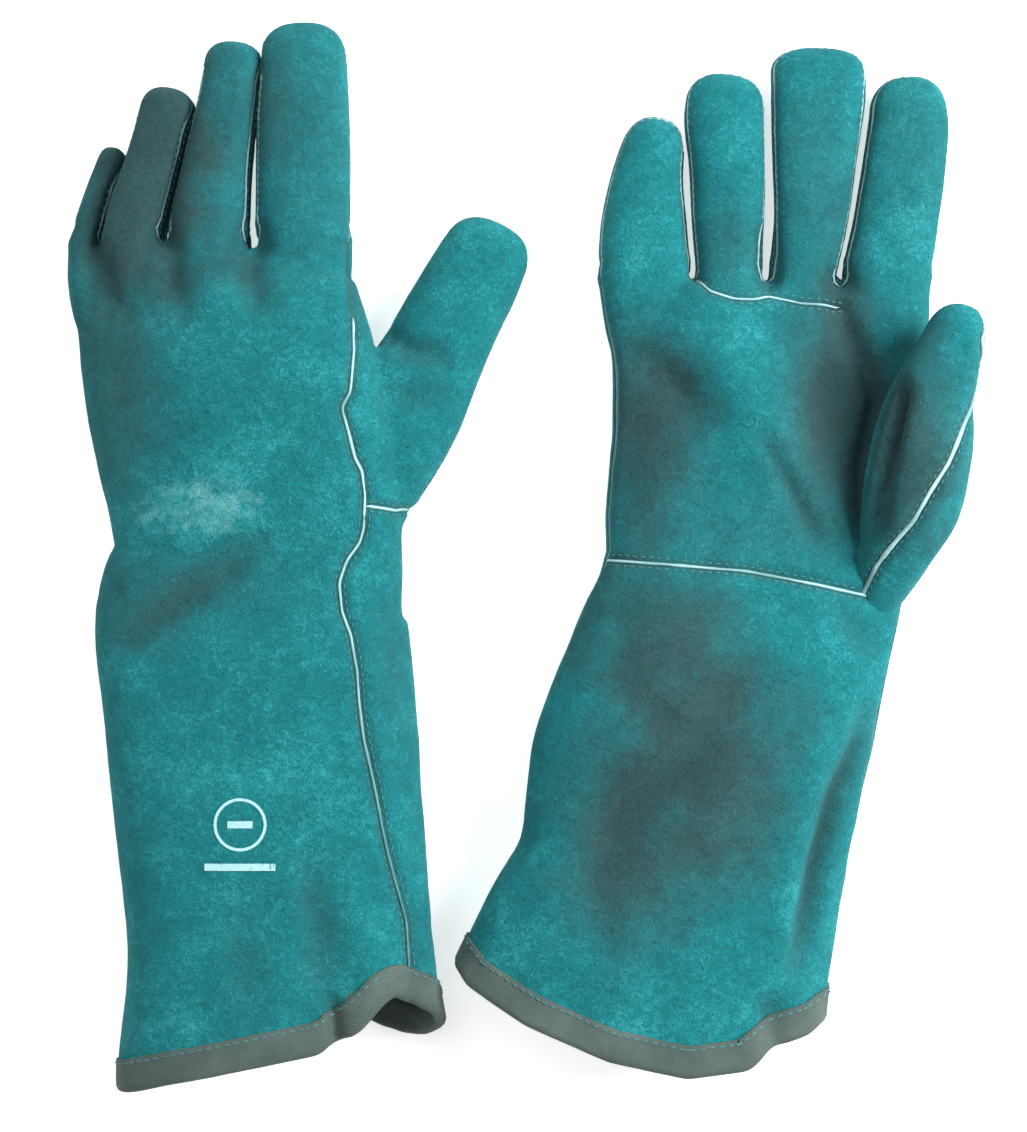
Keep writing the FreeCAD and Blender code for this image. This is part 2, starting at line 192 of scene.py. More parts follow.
def spline_rows(rows, places):
    """Rows of a smooth curve through the given rows, at places from 0 to 1 of its length."""
    rows = np.array(rows, float)
    steps = np.linalg.norm(np.diff(rows[:, :3], axis=0), axis=1)
    knots = np.concatenate([[0], np.cumsum(steps)])
    slopes = np.gradient(rows, knots, axis=0)
    at = np.clip(np.asarray(places) * knots[-1], 0, knots[-1] - 1e-9)
    low = np.searchsorted(knots, at, side="right") - 1
    span = (knots[low + 1] - knots[low])[:, None]
    t = ((at - knots[low]) / span[:, 0])[:, None]
    start, end = rows[low], rows[low + 1]
    return ((2 * t**3 - 3 * t**2 + 1) * start + (t**3 - 2 * t**2 + t) * span * slopes[low]
            + (-2 * t**3 + 3 * t**2) * end + (t**3 - t**2) * span * slopes[low + 1]), knots[-1]


def tube(rows, tip=0.0, ring_step=3.0, sides=56, squareness=2.5):
    """A closed soft tube with rounded-square sections; tip is the length of its rounded end."""
    _, length = spline_rows(rows, [0.0])
    body_places = np.linspace(0, 1 - tip / length, max(int((length - tip) / ring_step), 4))
    turn = np.linspace(0, math.pi / 2 * 0.985, 12)[1:] if tip else np.array([])
    places = np.concatenate([body_places, 1 - tip / length + tip / length * np.sin(turn)])
    shrink = np.concatenate([np.ones(len(body_places)), (1 - np.sin(turn) ** 2.4) ** (1 / 2.4)])
    path, _ = spline_rows(rows, places)
    centre = path[:, :3]
    along = np.gradient(centre, places * length, axis=0)
    along /= np.linalg.norm(along, axis=1)[:, None]
    side = np.cross(along, [0, 0, 1.0])
    side /= np.linalg.norm(side, axis=1)[:, None]
    up = np.cross(side, along)
    roll = np.radians(path[:, 5])[:, None]
    side, up = side * np.cos(roll) - up * np.sin(roll), up * np.cos(roll) + side * np.sin(roll)
    angle = np.linspace(0, 2 * math.pi, sides, endpoint=False)
    across = np.sign(np.cos(angle)) * np.abs(np.cos(angle)) ** (2 / squareness)
    upward = np.sign(np.sin(angle)) * np.abs(np.sin(angle)) ** (2 / squareness)
    half_width = (path[:, 3] / 2 * shrink)[:, None, None]
    half_height = (path[:, 4] / 2 * shrink)[:, None, None]
    rings = (centre[:, None, :] + side[:, None, :] * half_width * across[None, :, None]
             + up[:, None, :] * half_height * upward[None, :, None])
    count = len(rings)
    verts = np.concatenate([rings.reshape(-1, 3), centre[[0, -1]]])
    faces = []
    for ring in range(count - 1):
        for k in range(sides):
            nxt = (k + 1) % sides
            a, b = ring * sides + k, ring * sides + nxt
            faces.append((a, b, b + sides, a + sides))
    for k in range(sides):
        nxt = (k + 1) % sides
        last = (count - 1) * sides
        faces.append((k, count * sides, nxt))
        faces.append((last + k, last + nxt, count * sides + 1))
    return verts, faces


def new_object(name, verts, faces):
    mesh = bpy.data.meshes.new(name)
    mesh.from_pydata(np.asarray(verts).tolist(), [], faces if isinstance(faces, list) else faces.tolist())
    mesh.update()
    obj = bpy.data.objects.new(name, mesh)
    bpy.context.scene.collection.objects.link(obj)
    return obj


def evaluated_mesh(obj):
    graph = bpy.context.evaluated_depsgraph_get()
    return bpy.data.meshes.new_from_object(obj.evaluated_get(graph), depsgraph=graph)


def remove_object(obj):
    mesh = obj.data
    bpy.data.objects.remove(obj)
    bpy.data.meshes.remove(mesh)


def join_solids(tubes, voxel):
    """One closed skin round all the tubes; returns vertices in mm and triangles."""
    verts, faces, offset = [], [], 0
    for tube_verts, tube_faces in tubes:
        verts.append(tube_verts)
        faces += [tuple(i + offset for i in face) for face in tube_faces]
        offset += len(tube_verts)
    raw = new_object("raw_skin", np.concatenate(verts), faces)
    remesh = raw.modifiers.new("union", "REMESH")
    remesh.mode = "VOXEL"
    remesh.voxel_size = voxel
    mesh = evaluated_mesh(raw)
    mesh.calc_loop_triangles()
    out = np.empty(len(mesh.vertices) * 3)
    mesh.vertices.foreach_get("co", out)
    triangles = np.empty(len(mesh.loop_triangles) * 3, int)
    mesh.loop_triangles.foreach_get("vertices", triangles)
    remove_object(raw)
    bpy.data.meshes.remove(mesh)
    return out.reshape(-1, 3), triangles.reshape(-1, 3)


# ------------------------------------------------------------------ mesh arithmetic


def edges_of(triangles):
    pairs = np.concatenate([triangles[:, [0, 1]], triangles[:, [1, 2]], triangles[:, [2, 0]]])
    return np.unique(np.sort(pairs, axis=1), axis=0)


def relax(verts, edges, rounds, strength=0.5):
    """Laplacian smoothing that keeps its volume (each round shrinks, then swells)."""
    a, b = edges[:, 0], edges[:, 1]
    count = np.bincount(a, minlength=len(verts)) + np.bincount(b, minlength=len(verts))
    for _ in range(rounds):
        for factor in (strength, -strength * 1.03):
            total = np.stack([np.bincount(a, verts[b, k], len(verts)) + np.bincount(b, verts[a, k], len(verts))
                              for k in range(3)], axis=1)
            verts = verts + factor * (total / count[:, None] - verts)
    return verts


def normals_of(verts, triangles):
    a, b, c = (verts[triangles[:, k]] for k in range(3))
    face = np.cross(b - a, c - a)
    total = np.zeros_like(verts)
    for k in range(3):
        for axis in range(3):
            total[:, axis] += np.bincount(triangles[:, k], face[:, axis], len(verts))
    return total / np.maximum(np.linalg.norm(total, axis=1), 1e-12)[:, None]


def noise_at(verts, size, seed=0.0):
    """Smooth noise from -1 to 1 whose blotches are about size mm across."""
    scaled = verts / size + seed
    return np.array([noise.noise(p) for p in scaled])


def smoothstep(low, high, value):
    t = np.clip((value - low) / (high - low), 0, 1)
    return t * t * (3 - 2 * t)


def along_polyline(points, verts):
    """Signed distance from a line in the plan (positive on its left) and the place along it, 0 to 1."""
    points = np.array(points, float)
    best = np.full(len(verts), 1e9)
    signed = np.zeros(len(verts))
    place = np.zeros(len(verts))
    lengths = np.linalg.norm(np.diff(points, axis=0), axis=1)
    starts = np.concatenate([[0], np.cumsum(lengths)])
    for k, length in enumerate(lengths):
        direction = (points[k + 1] - points[k]) / length
        offset = verts[:, :2] - points[k]
        t = np.clip(offset @ direction, 0, length)
        distance = np.linalg.norm(offset - t[:, None] * direction, axis=1)
        sign = np.sign(direction[0] * offset[:, 1] - direction[1] * offset[:, 0])
        closer = distance < best
        best = np.where(closer, distance, best)
        signed = np.where(closer, distance * sign, signed)
        place = np.where(closer, (starts[k] + t) / starts[-1], place)
    return signed, place


class Skin:
    """Triangles with per-vertex data columns: x, y, z, nx, ny, nz and any fields."""

    def __init__(self, data, triangles):
        self.data = data
        self.triangles = triangles

    @property
    def verts(self):
        return self.data[:, :3]

    def compact(self):
        used, inverse = np.unique(self.triangles, return_inverse=True)
        return Skin(self.data[used], inverse.reshape(-1, 3))


def split(skin, field):
    """Cut a skin along field = 0. Returns the positive part, the negative part and the cut's points."""
    field = np.where(np.abs(field) < 1e-4, 1e-4, field)
    triangles = skin.triangles
    above = field[triangles] > 0
    number_above = above.sum(axis=1)
    cut_edges = np.sort(np.concatenate([triangles[:, [0, 1]], triangles[:, [1, 2]], triangles[:, [2, 0]]]), axis=1)
    cut_edges = np.unique(cut_edges[(field[cut_edges[:, 0]] > 0) != (field[cut_edges[:, 1]] > 0)], axis=0)
    low, high = cut_edges[:, 0], cut_edges[:, 1]
    t = (field[low] / (field[low] - field[high]))[:, None]
    fresh = skin.data[low] * (1 - t) + skin.data[high] * t
    keys = low.astype(np.int64) * len(field) + high
    order = np.argsort(keys)
    sorted_keys = keys[order]

    def middle_of(a, b):
        wanted = np.minimum(a, b).astype(np.int64) * len(field) + np.maximum(a, b)
        return len(skin.data) + order[np.searchsorted(sorted_keys, wanted)]

    data = np.concatenate([skin.data, fresh])
    parts = {True: [triangles[number_above == 3]], False: [triangles[number_above == 0]]}
    segments = []
    for lone_is_above, chosen in ((True, number_above == 1), (False, number_above == 2)):
        group, flags = triangles[chosen], above[chosen]
        lone = np.argmax(flags == lone_is_above, axis=1)
        rows = np.arange(len(group))
        a, b, c = (group[rows, (lone + k) % 3] for k in range(3))
        ab, ac = middle_of(a, b), middle_of(a, c)
        parts[lone_is_above].append(np.stack([a, ab, ac], axis=1))
        parts[not lone_is_above].append(np.stack([ab, b, c], axis=1))
        parts[not lone_is_above].append(np.stack([ab, c, ac], axis=1))
        segments.append(np.stack([ab, ac], axis=1))
    pieces = [Skin(data, np.concatenate(parts[flag])).compact() for flag in (True, False)]
    return pieces[0], pieces[1], chains(np.concatenate(segments), data)


def chains(segments, data):
    """Join cut segments end to end into lines, longest first; each is rows of skin data."""
    links = {}
    for a, b in segments.tolist():
        links.setdefault(a, []).append(b)
        links.setdefault(b, []).append(a)
    lines, seen = [], set()
    starts = [k for k, near in links.items() if len(near) == 1] + list(links)
    for start in starts:
        if start in seen:
            continue
        line, here = [start], start
        seen.add(start)
        while True:
            onward = [k for k in links[here] if k not in seen]
            if not onward:
                break
            here = onward[0]
            seen.add(here)
            line.append(here)
        if len(line) > 1 and line[0] in links[line[-1]] and len(line) > 2:
            line.append(line[0])
        lines.append(data[line])
    return sorted(lines, key=len, reverse=True)


def between_ends(line, points):
    """The stretch of a line that lies beside the plan line through points, not past its ends."""
    _, place = along_polyline(points, line[:, :3])
    return line[(place > 0.01) & (place < 0.99)]


def line_length(line):
    return np.linalg.norm(np.diff(line[:, :3], axis=0), axis=1).sum()


def even_line(line, step, rounds=6):
    """Points a step apart along a line of skin data, after smoothing out its jitter."""
    closed = np.allclose(line[0, :3], line[-1, :3])
    smooth = line.copy()
    for _ in range(rounds):
        inner = (smooth[:-2] + smooth[2:]) / 4 + smooth[1:-1] / 2
        if closed:
            seam = (smooth[-2] + smooth[1]) / 4 + smooth[0] / 2
            smooth = np.concatenate([[seam], inner, [seam]])
        else:
            smooth[1:-1] = inner
    travelled = np.concatenate([[0], np.cumsum(np.linalg.norm(np.diff(smooth[:, :3], axis=0), axis=1))])
    wanted = np.linspace(0, travelled[-1], max(int(travelled[-1] / step), 3))
    return np.stack([np.interp(wanted, travelled, smooth[:, k]) for k in range(smooth.shape[1])], axis=1)


# ------------------------------------------------------------------ one glove as fields

POSITION, NORMAL = slice(0, 3), slice(3, 6)
PAINTED_SHADE_AND_DIRT, WEAR, UPPER, LOWER, WRIST, HEM, ENDS, ROOT, BASE, THUMB = range(6, 16)


def on_curve(points, x):
    """The y of a plan line at x, or of any table of pairs in rising order."""
    points = sorted(points)
    return np.interp(x, [p[0] for p in points], [p[1] for p in points])


def middle_sheet(rows, verts):
    """Height of a limb's middle surface over the plan, its centre line's x, and its half height."""
    rows = np.array(rows, float)
    x, z, width, height, roll = (np.interp(verts[:, 1], rows[:, 1], rows[:, k]) for k in (0, 2, 3, 4, 5))
    across = verts[:, 0] - x
    return z - across * np.tan(np.radians(roll)), across, width / 2, height / 2


class Glove:
    """Shape tables of one glove, with the fields that say where its leather is cut and sewn."""

    def __init__(self, side, table):
        self.side = side
        self.table = table
        self.back_up = side == "left"
        rows, _ = table["thumb"]
        joint = next(j for j in frame["joints"] if j["name"] == f"{side}_thumb_root")
        self.root = np.array(joint["pos_m"]) / MM if "pos_m" in joint else np.array(joint["pos"]) / MM
        axis = np.array(joint["axis"], float)
        flip = 1 if self.back_up else -1
        self.keep = np.array([axis[1], -axis[0], 0]) * flip

    def body(self, part):
        return f"{self.side}_{part}"

    def tubes(self, limbs):
        made = []
        for limb in limbs:
            if limb == "cuff":
                made.append(tube(self.table["cuff"], 9.0, ring_step=4.0, sides=96, squareness=2.7))
            else:
                rows, tip = self.table[limb]
                verts, faces = tube(rows, tip)
                made.append((self.clear_of_gaps(limb, verts), faces))
        return made

    def clear_of_gaps(self, limb, verts):
        """Keeps a finger on its own side of the gaps to its neighbours, beyond the fork of the fingers."""
        if limb not in FINGERS:
            return verts
        k = FINGERS.index(limb)
        apart = smoothstep(-12, 0, self.past_fork(verts))
        x = verts[:, 0]
        for number, side in ((k - 1, 1), (k, -1)):
            if 0 <= number < 3:
                gap = self.table["gaps"][number]
                edge = np.interp(verts[:, 1], [p[1] for p in gap], [p[0] for p in gap])
                room = self.table["half_gaps"][number] * apart - 4 * (1 - apart)
                x = np.maximum(x, edge + room) if side > 0 else np.minimum(x, edge - room)
        x = x + self.fan(verts, k)
        return np.column_stack([x, verts[:, 1:]])

    def past_fork(self, verts):
        """How far each point lies beyond the fork of the fingers, in mm along Y."""
        return verts[:, 1] - on_curve(self.table["finger_ends"], verts[:, 0])

    def fan(self, verts, place):
        """How far a finger, or a gap between two, is held aside while the skin is made; place counts from 0."""
        return (place - 1.5) * FAN_STEP * smoothstep(0, 9, self.past_fork(verts))

    def finger_of(self, verts, fanned=False):
        """Which finger (0 little to 3 index) each point belongs to, by the gaps between them."""
        number = np.zeros(len(verts), int)
        for k, gap in enumerate(self.table["gaps"]):
            at = np.interp(verts[:, 1], [p[1] for p in gap], [p[0] for p in gap])
            if fanned:
                at = at + self.fan(verts, k + 0.5)
            number += verts[:, 0] > at
        return number

    def thumb_seam(self, verts):
        sheet, _, _, _ = middle_sheet(self.table["thumb"][0], verts)
        return verts[:, 2] - sheet

    def seam_fields(self, verts, is_thumb=False):
        """Two fields for each point: above zero on UPPER is the top leather, below zero on LOWER the bottom one.

        Between the two runs the fourchette; it is only wider than nothing on the fingers' inner sides.
        """
        if is_thumb:
            upper = self.thumb_seam(verts)
            if not self.back_up:
                inside, _ = along_polyline(self.table["thumb_welt"], verts)
                upper = np.minimum(upper, inside)
            return upper, upper - 0.3
        sheet, _, _, _ = middle_sheet(self.table["cuff"], verts)
        beside, _ = along_polyline(self.table["thumb_side_seam"], verts)
        rise = self.table["edge_seam_rise"]
        upper = np.minimum(verts[:, 2] - sheet - rise, beside)
        lower = upper - 0.3
        number = self.finger_of(verts)
        beyond = smoothstep(-2, 6, verts[:, 1] - on_curve(self.table["finger_ends"], verts[:, 0]))
        for k, finger in enumerate(FINGERS):
            rows, tip = self.table[finger]
            level, across, half, _ = middle_sheet(rows, verts)
            tip_y = rows[-1][1]
            inner = np.ones(len(verts))
            if finger == "little":
                inner = smoothstep(-2, 3, across)
            elif finger == "index":
                inner = smoothstep(2, -3, across)
            spread = inner * smoothstep(tip_y - 2, tip_y - 16, verts[:, 1])
            top_seam = verts[:, 2] - level - rise - self.table["fourchette_rise"] * spread
            bottom_seam = top_seam + (5 + self.table["fourchette_rise"]) * spread - 0.3 * (1 - spread)
            mine = (number == k) & (beyond > 0)
            upper = np.where(mine, upper * (1 - beyond) + top_seam * beyond, upper)
            lower = np.where(mine, lower * (1 - beyond) + bottom_seam * beyond, lower)
        return upper, lower

    def relief(self, verts, normals, painted_shade_and_dirt):
        """How far each point stands out of the smooth shape, in mm; the darkening field gathers painted shade in the
        folds and hollows, and painted shade mixed with dirt in the patches.
        """
        facing = smoothstep(-0.1, 0.5, normals[:, 2])
        height = noise_at(verts, 46, 3.1) * 1.3 + noise_at(verts, 17, 7.7) * 0.45 + noise_at(verts, 6, 1.3) * 0.14
        stretched = verts * np.array([1.0, 0.35, 1.0])
        height += noise_at(stretched, 13, 9.4) * 0.35
        beyond = smoothstep(-6, 4, self.past_fork(verts))
        height *= 1 - 0.75 * beyond * (1 - smoothstep(0.2, 0.7, np.abs(normals[:, 2])))
        for line, depth, width in self.table["folds"]:
            wander = noise_at(verts, 20, 5.5) * 0.25 * width
            distance, place = along_polyline(line, verts)
            ends = np.clip(np.sin(np.pi * np.clip(place, 0, 1)), 0, 1) ** 0.6
            shape = np.exp(-((distance + wander) / width) ** 2) * ends * facing
            height += 1.6 * depth * shape
            # painted shade in the crease of each fold
            painted_shade_and_dirt += np.clip(-depth, 0, 4) * 0.2 * shape
        for x, y, reach_x, reach_y, depth in self.table["hollows"]:
            offset = ((verts[:, 0] - x) / reach_x) ** 2 + ((verts[:, 1] - y) / reach_y) ** 2
            shape = np.exp(-offset) * facing
            height += depth * shape
            # painted shade in each hollow
            painted_shade_and_dirt += np.clip(-depth, 0, 4) * 0.2 * shape
        # patches darkened partly as painted shade and partly as dirt, on upward faces
        for x, y, reach_x, reach_y, amount in self.table["shade_and_dirt_patches"]:
            wander = noise_at(verts, 18, 8.8) * 0.4 + noise_at(verts, 5, 3.3) * 0.12
            offset = np.sqrt(((verts[:, 0] - x) / reach_x) ** 2 + ((verts[:, 1] - y) / reach_y) ** 2) + wander
            painted_shade_and_dirt += 0.9 * amount * (1 - smoothstep(0.0, 1.7, offset)) * smoothstep(-0.3, 0.3, normals[:, 2])
        return height

    def skin(self, limbs, voxel, is_thumb=False):
        verts, triangles = join_solids(self.tubes(limbs), voxel)
        if not is_thumb:
            verts[:, 0] -= self.fan(verts, self.finger_of(verts, fanned=True)) * (verts[:, 0] < self.table["fan_limit"])
        edges = edges_of(triangles)
        verts = relax(verts, edges, 8)
        if not is_thumb:
            near = np.exp(-((verts[:, 1] - on_curve(self.table["finger_ends"], verts[:, 0]) + 4) / 10) ** 2)[:, None]
            verts = verts * (1 - near) + relax(verts, edges, 24) * near
        rest, normals = verts, normals_of(verts, triangles)
        data = np.zeros((len(verts), 16))
        painted_shade_and_dirt = np.zeros(len(verts))
        height = self.relief(rest, normals, painted_shade_and_dirt)
        upper, lower = self.seam_fields(rest, is_thumb)
        wrist_distance, _ = along_polyline(self.table["wrist_seam"], rest)
        wrist = np.abs(wrist_distance)
        palm_side = upper < 0 if self.back_up else upper > 0
        wrist = np.where(palm_side & ~np.full(len(rest), is_thumb), wrist, 99)
        base = np.full(len(rest), 99.0)
        if not is_thumb and not self.back_up:
            base, place = along_polyline(self.table["finger_base_seam"], rest)
            on_seam = (normals[:, 2] > 0.1) & (place > 0.01) & (place < 0.99)
        root = (rest - self.root) @ self.keep - 4
        along_thumb = (root > 0) & (rest[:, 0] > -59) & self.back_up
        thumb_seam = self.thumb_seam(rest)
        nearest = np.where(along_thumb, np.abs(thumb_seam), np.minimum(np.abs(upper), np.abs(lower)))
        pinch = np.minimum(nearest, wrist)
        if not is_thumb and not self.back_up:
            pinch = np.minimum(pinch, np.where(on_seam, np.abs(base) + 0.8, 99))
        calm = 1 - 0.8 * smoothstep(0, 6, self.past_fork(rest)) * (
            1 - smoothstep(0.2, 0.7, np.abs(normals[:, 2])))
        height += -1.15 * np.exp(-(pinch / 1.9) ** 2) + 0.45 * np.exp(-((pinch - 5) / 3.2) ** 2) * calm
        verts = rest + normals * height[:, None]
        low = 0.35
        verts = verts.copy()
        verts[:, 2] = np.where(verts[:, 2] < low + 1.5, low + 1.5 * np.exp((verts[:, 2] - low - 1.5) / 1.5), verts[:, 2])
        normals = normals_of(verts, triangles)
        hem, _ = along_polyline(self.table["hem"], rest)
        if self.back_up:
            hem = hem + smoothstep(-66, -46, rest[:, 0]) * np.clip(24 - rest[:, 2], -30, 26) * 0.42
        if is_thumb:
            hem = np.full(len(rest), 99.0)
        data[:, POSITION], data[:, NORMAL] = verts, normals
        wear = 0.5 + 0.5 * noise_at(rest, 30, 2.2)
        if self.back_up:
            offset = ((rest[:, 0] + 118) / 30) ** 2 + ((rest[:, 1] - 17) / 15) ** 2
            rubbed = np.exp(-offset ** 1.5) * smoothstep(0, 0.5, normals[:, 2])
            wear += rubbed * (0.55 + 0.3 * noise_at(rest, 9, 6.6) + 0.3 * noise_at(rest, 3, 2.6))
        # the darkening column also gets painted shade along the seams' grooves
        columns = ((PAINTED_SHADE_AND_DIRT, np.minimum(painted_shade_and_dirt, 1.15) + 0.5 * np.exp(-(pinch / 2.2) ** 2)), (WEAR, wear), (UPPER, upper), (LOWER, lower),
                   (WRIST, wrist_distance), (HEM, hem),
                   (ENDS, rest[:, 1] - on_curve(self.table["finger_ends"], rest[:, 0])),
                   (ROOT, root), (BASE, base), (THUMB, upper if is_thumb else thumb_seam))
        for column, values in columns:
            data[:, column] = values
        return Skin(data, triangles)


# ------------------------------------------------------------------ pieces


def make_piece(name, skin, material, offset=0.0, flip=False):
    """A mesh object from a skin, with the fields the material reads and the whole skin's normals."""
    skin = skin.compact()
    verts = skin.verts + skin.data[:, NORMAL] * offset
    triangles = skin.triangles[:, ::-1] if flip else skin.triangles
    obj = new_object(name, verts * MM, triangles)
    mesh = obj.data
    for label, column in (("painted_shade_and_dirt", PAINTED_SHADE_AND_DIRT), ("wear", WEAR)):
        attribute = mesh.attributes.new(label, "FLOAT", "POINT")
        attribute.data.foreach_set("value", skin.data[:, column].astype(np.float32))
    mesh.polygons.foreach_set("use_smooth", [True] * len(mesh.polygons))
    normals = skin.data[:, NORMAL] * (-1 if flip else 1)
    length = np.maximum(np.linalg.norm(normals, axis=1), 1e-9)[:, None]
    mesh.normals_split_custom_set_from_vertices((normals / length).tolist())
    mesh.materials.append(material)
    return obj


def sweep(points, normals, profile, closed):
    """Vertices and faces of a profile carried along points; profile rows are (sideways, outwards) in mm."""
    tangents = np.gradient(points, axis=0)
    if closed:
        tangents[0] = tangents[-1] = points[1] - points[-2]
    tangents /= np.maximum(np.linalg.norm(tangents, axis=1), 1e-9)[:, None]
    sideways = np.cross(normals, tangents)
    sideways /= np.maximum(np.linalg.norm(sideways, axis=1), 1e-9)[:, None]
    outwards = np.cross(tangents, sideways)
    profile = np.asarray(profile, float)
    if profile.ndim == 2:
        profile = np.repeat(profile[None], len(points), axis=0)
    rings = (points[:, None] + sideways[:, None] * profile[:, :, :1] + outwards[:, None] * profile[:, :, 1:])
    if closed:
        rings = rings[:-1]
    count, sides = rings.shape[:2]
    faces = []
    for ring in range(count if closed else count - 1):
        after = (ring + 1) % count
        for k in range(sides):
            nxt = (k + 1) % sides
            faces.append((ring * sides + k, after * sides + k, after * sides + nxt, ring * sides + nxt))
    if not closed:
        faces.append(tuple(range(sides)))
        faces.append(tuple(reversed(range((count - 1) * sides, count * sides))))
    return rings.reshape(-1, 3), faces


def circle_profile(radius_across, radius_up, sides=8):
    turn = np.linspace(0, 2 * math.pi, sides, endpoint=False)
    return np.stack([radius_across * np.cos(turn), radius_up * np.sin(turn)], axis=1)


def welts(name, lines, material, radius=0.85, pale=1.0, seed=0.0):
    """Narrow, slightly wavy strips of leather standing up out of the seams."""
    verts, faces, tones, offset = [], [], [], 0
    for line in lines:
        if len(line) < 4 or line_length(line) < 5:
            continue
        line = even_line(line, 0.9)
        points, normals = line[:, POSITION].copy(), line[:, NORMAL]
        swell = 1 + 0.3 * noise_at(points, 4.5, seed)
        points += normals * (0.35 + 0.25 * noise_at(points, 7, seed + 2))[:, None]
        profile = circle_profile(radius, radius * 0.85)[None] * swell[:, None, None]
        ends = np.minimum(np.arange(len(points)), np.arange(len(points))[::-1]) / 3
        profile = profile * np.clip(ends + 0.15, 0, 1)[:, None, None]
        tube_verts, tube_faces = sweep(points, normals, profile, False)
        verts.append(tube_verts)
        tone = pale * np.clip(0.85 + 0.8 * noise_at(points, 16, seed + 4), 0.15, 1)
        tone *= 0.25 + 0.75 * smoothstep(-105, -60, points[:, 1])
        tones.append(np.repeat(tone, 8))
        faces += [tuple(i + offset for i in face) for face in tube_faces]
        offset += len(tube_verts)
    if not verts:
        return None
    obj = new_object(name, np.concatenate(verts) * MM, faces)
    attribute = obj.data.attributes.new("pale", "FLOAT", "POINT")
    attribute.data.foreach_set("value", np.concatenate(tones).astype(np.float32))
    obj.data.polygons.foreach_set("use_smooth", [True] * len(obj.data.polygons))
    obj.data.materials.append(material)
    return obj


# ------------------------------------------------------------------ materials


def node_tree_of(name):
    material = bpy.data.materials.new(name)
    material.use_nodes = True
    tree = material.node_tree
    shader = tree.nodes["Principled BSDF"]
    return material, tree, shader


def add_node(tree, kind, **settings):
    node = tree.nodes.new(kind)
    for key, value in settings.items():
        if key in node.inputs:
            node.inputs[key].default_value = value
        else:
            setattr(node, key.lower(), value)
    return node


def ramp(tree, source, stops):
    node = tree.nodes.new("ShaderNodeValToRGB")
    while len(node.color_ramp.elements) < len(stops):
        node.color_ramp.elements.new(0.5)
    for element, (place, colour) in zip(node.color_ramp.elements, stops):
        element.position = place
        element.color = colour if len(colour) == 4 else (*colour, 1)
    tree.links.new(source, node.inputs[0])
    return node.outputs[0]


def maths(tree, operation, a, b=None, c=None, clamp=False):
    node = tree.nodes.new("ShaderNodeMath")
    node.operation = operation
    node.use_clamp = clamp
    for k, value in enumerate((a, b, c)):
        if value is None:
            continue
        if isinstance(value, (int, float)):
            node.inputs[k].default_value = value
        else:
            tree.links.new(value, node.inputs[k])
    return node.outputs[0]


def blend_colours(tree, factor, a, b, kind="MIX"):
    node = tree.nodes.new("ShaderNodeMix")
    node.data_type = "RGBA"
    node.blend_type = kind
    sockets = {"Factor": node.inputs[0], "A": node.inputs[6], "B": node.inputs[7]}
    for key, value in (("Factor", factor), ("A", a), ("B", b)):
        if isinstance(value, (int, float)):
            sockets[key].default_value = value
        elif isinstance(value, tuple):
            sockets[key].default_value = (*value, 1)
        else:
            tree.links.new(value, sockets[key])
    return node.outputs[2]


def noise_node(tree, vector, scale, detail=4.0, roughness=0.6, distortion=0.0):
    node = tree.nodes.new("ShaderNodeTexNoise")
    node.inputs["Scale"].default_value = scale
    node.inputs["Detail"].default_value = detail
    node.inputs["Roughness"].default_value = roughness
    node.inputs["Distortion"].default_value = distortion
    tree.links.new(vector, node.inputs["Vector"])
    return node.outputs["Fac"]


def nap_group():
    """Napped split leather as masks: Mottle, Grain, Clumps and the height of the nap."""
    group = bpy.data.node_groups.new("suede_nap", "ShaderNodeTree")
    group.interface.new_socket("Vector", in_out="INPUT", socket_type="NodeSocketVector")
    for label in ("Mottle", "Grain", "Clumps", "Height"):
        group.interface.new_socket(label, in_out="OUTPUT", socket_type="NodeSocketFloat")
    start = group.nodes.new("NodeGroupInput")
    end = group.nodes.new("NodeGroupOutput")
    vector = start.outputs["Vector"]
    mottle = noise_node(group, vector, 55, 5, 0.62, 0.4)
    clumps = noise_node(group, vector, 330, 4, 0.7, 1.2)
    grain = noise_node(group, vector, 1500, 3, 0.75)
    broad = maths(group, "MULTIPLY", clumps, 0.7)
    height = maths(group, "MULTIPLY_ADD", grain, 0.5, broad)
    for label, socket in (("Mottle", mottle), ("Grain", grain), ("Clumps", clumps), ("Height", height)):
        group.links.new(socket, end.inputs[label])
    return group


def object_vector(tree):
    return tree.nodes.new("ShaderNodeTexCoord").outputs["Object"]


def value_of(tree, label):
    node = tree.nodes.new("ShaderNodeAttribute")
    node.attribute_name = label
    return node.outputs["Fac"]


def use_nap(tree, group):
    node = tree.nodes.new("ShaderNodeGroup")
    node.node_tree = group
    tree.links.new(object_vector(tree), node.inputs["Vector"])
    return node.outputs


def bump(tree, shader, height, distance, strength=1.0):
    node = tree.nodes.new("ShaderNodeBump")
    node.inputs["Distance"].default_value = distance
    node.inputs["Strength"].default_value = strength
    tree.links.new(height, node.inputs["Height"])
    tree.links.new(node.outputs["Normal"], shader.inputs["Normal"])


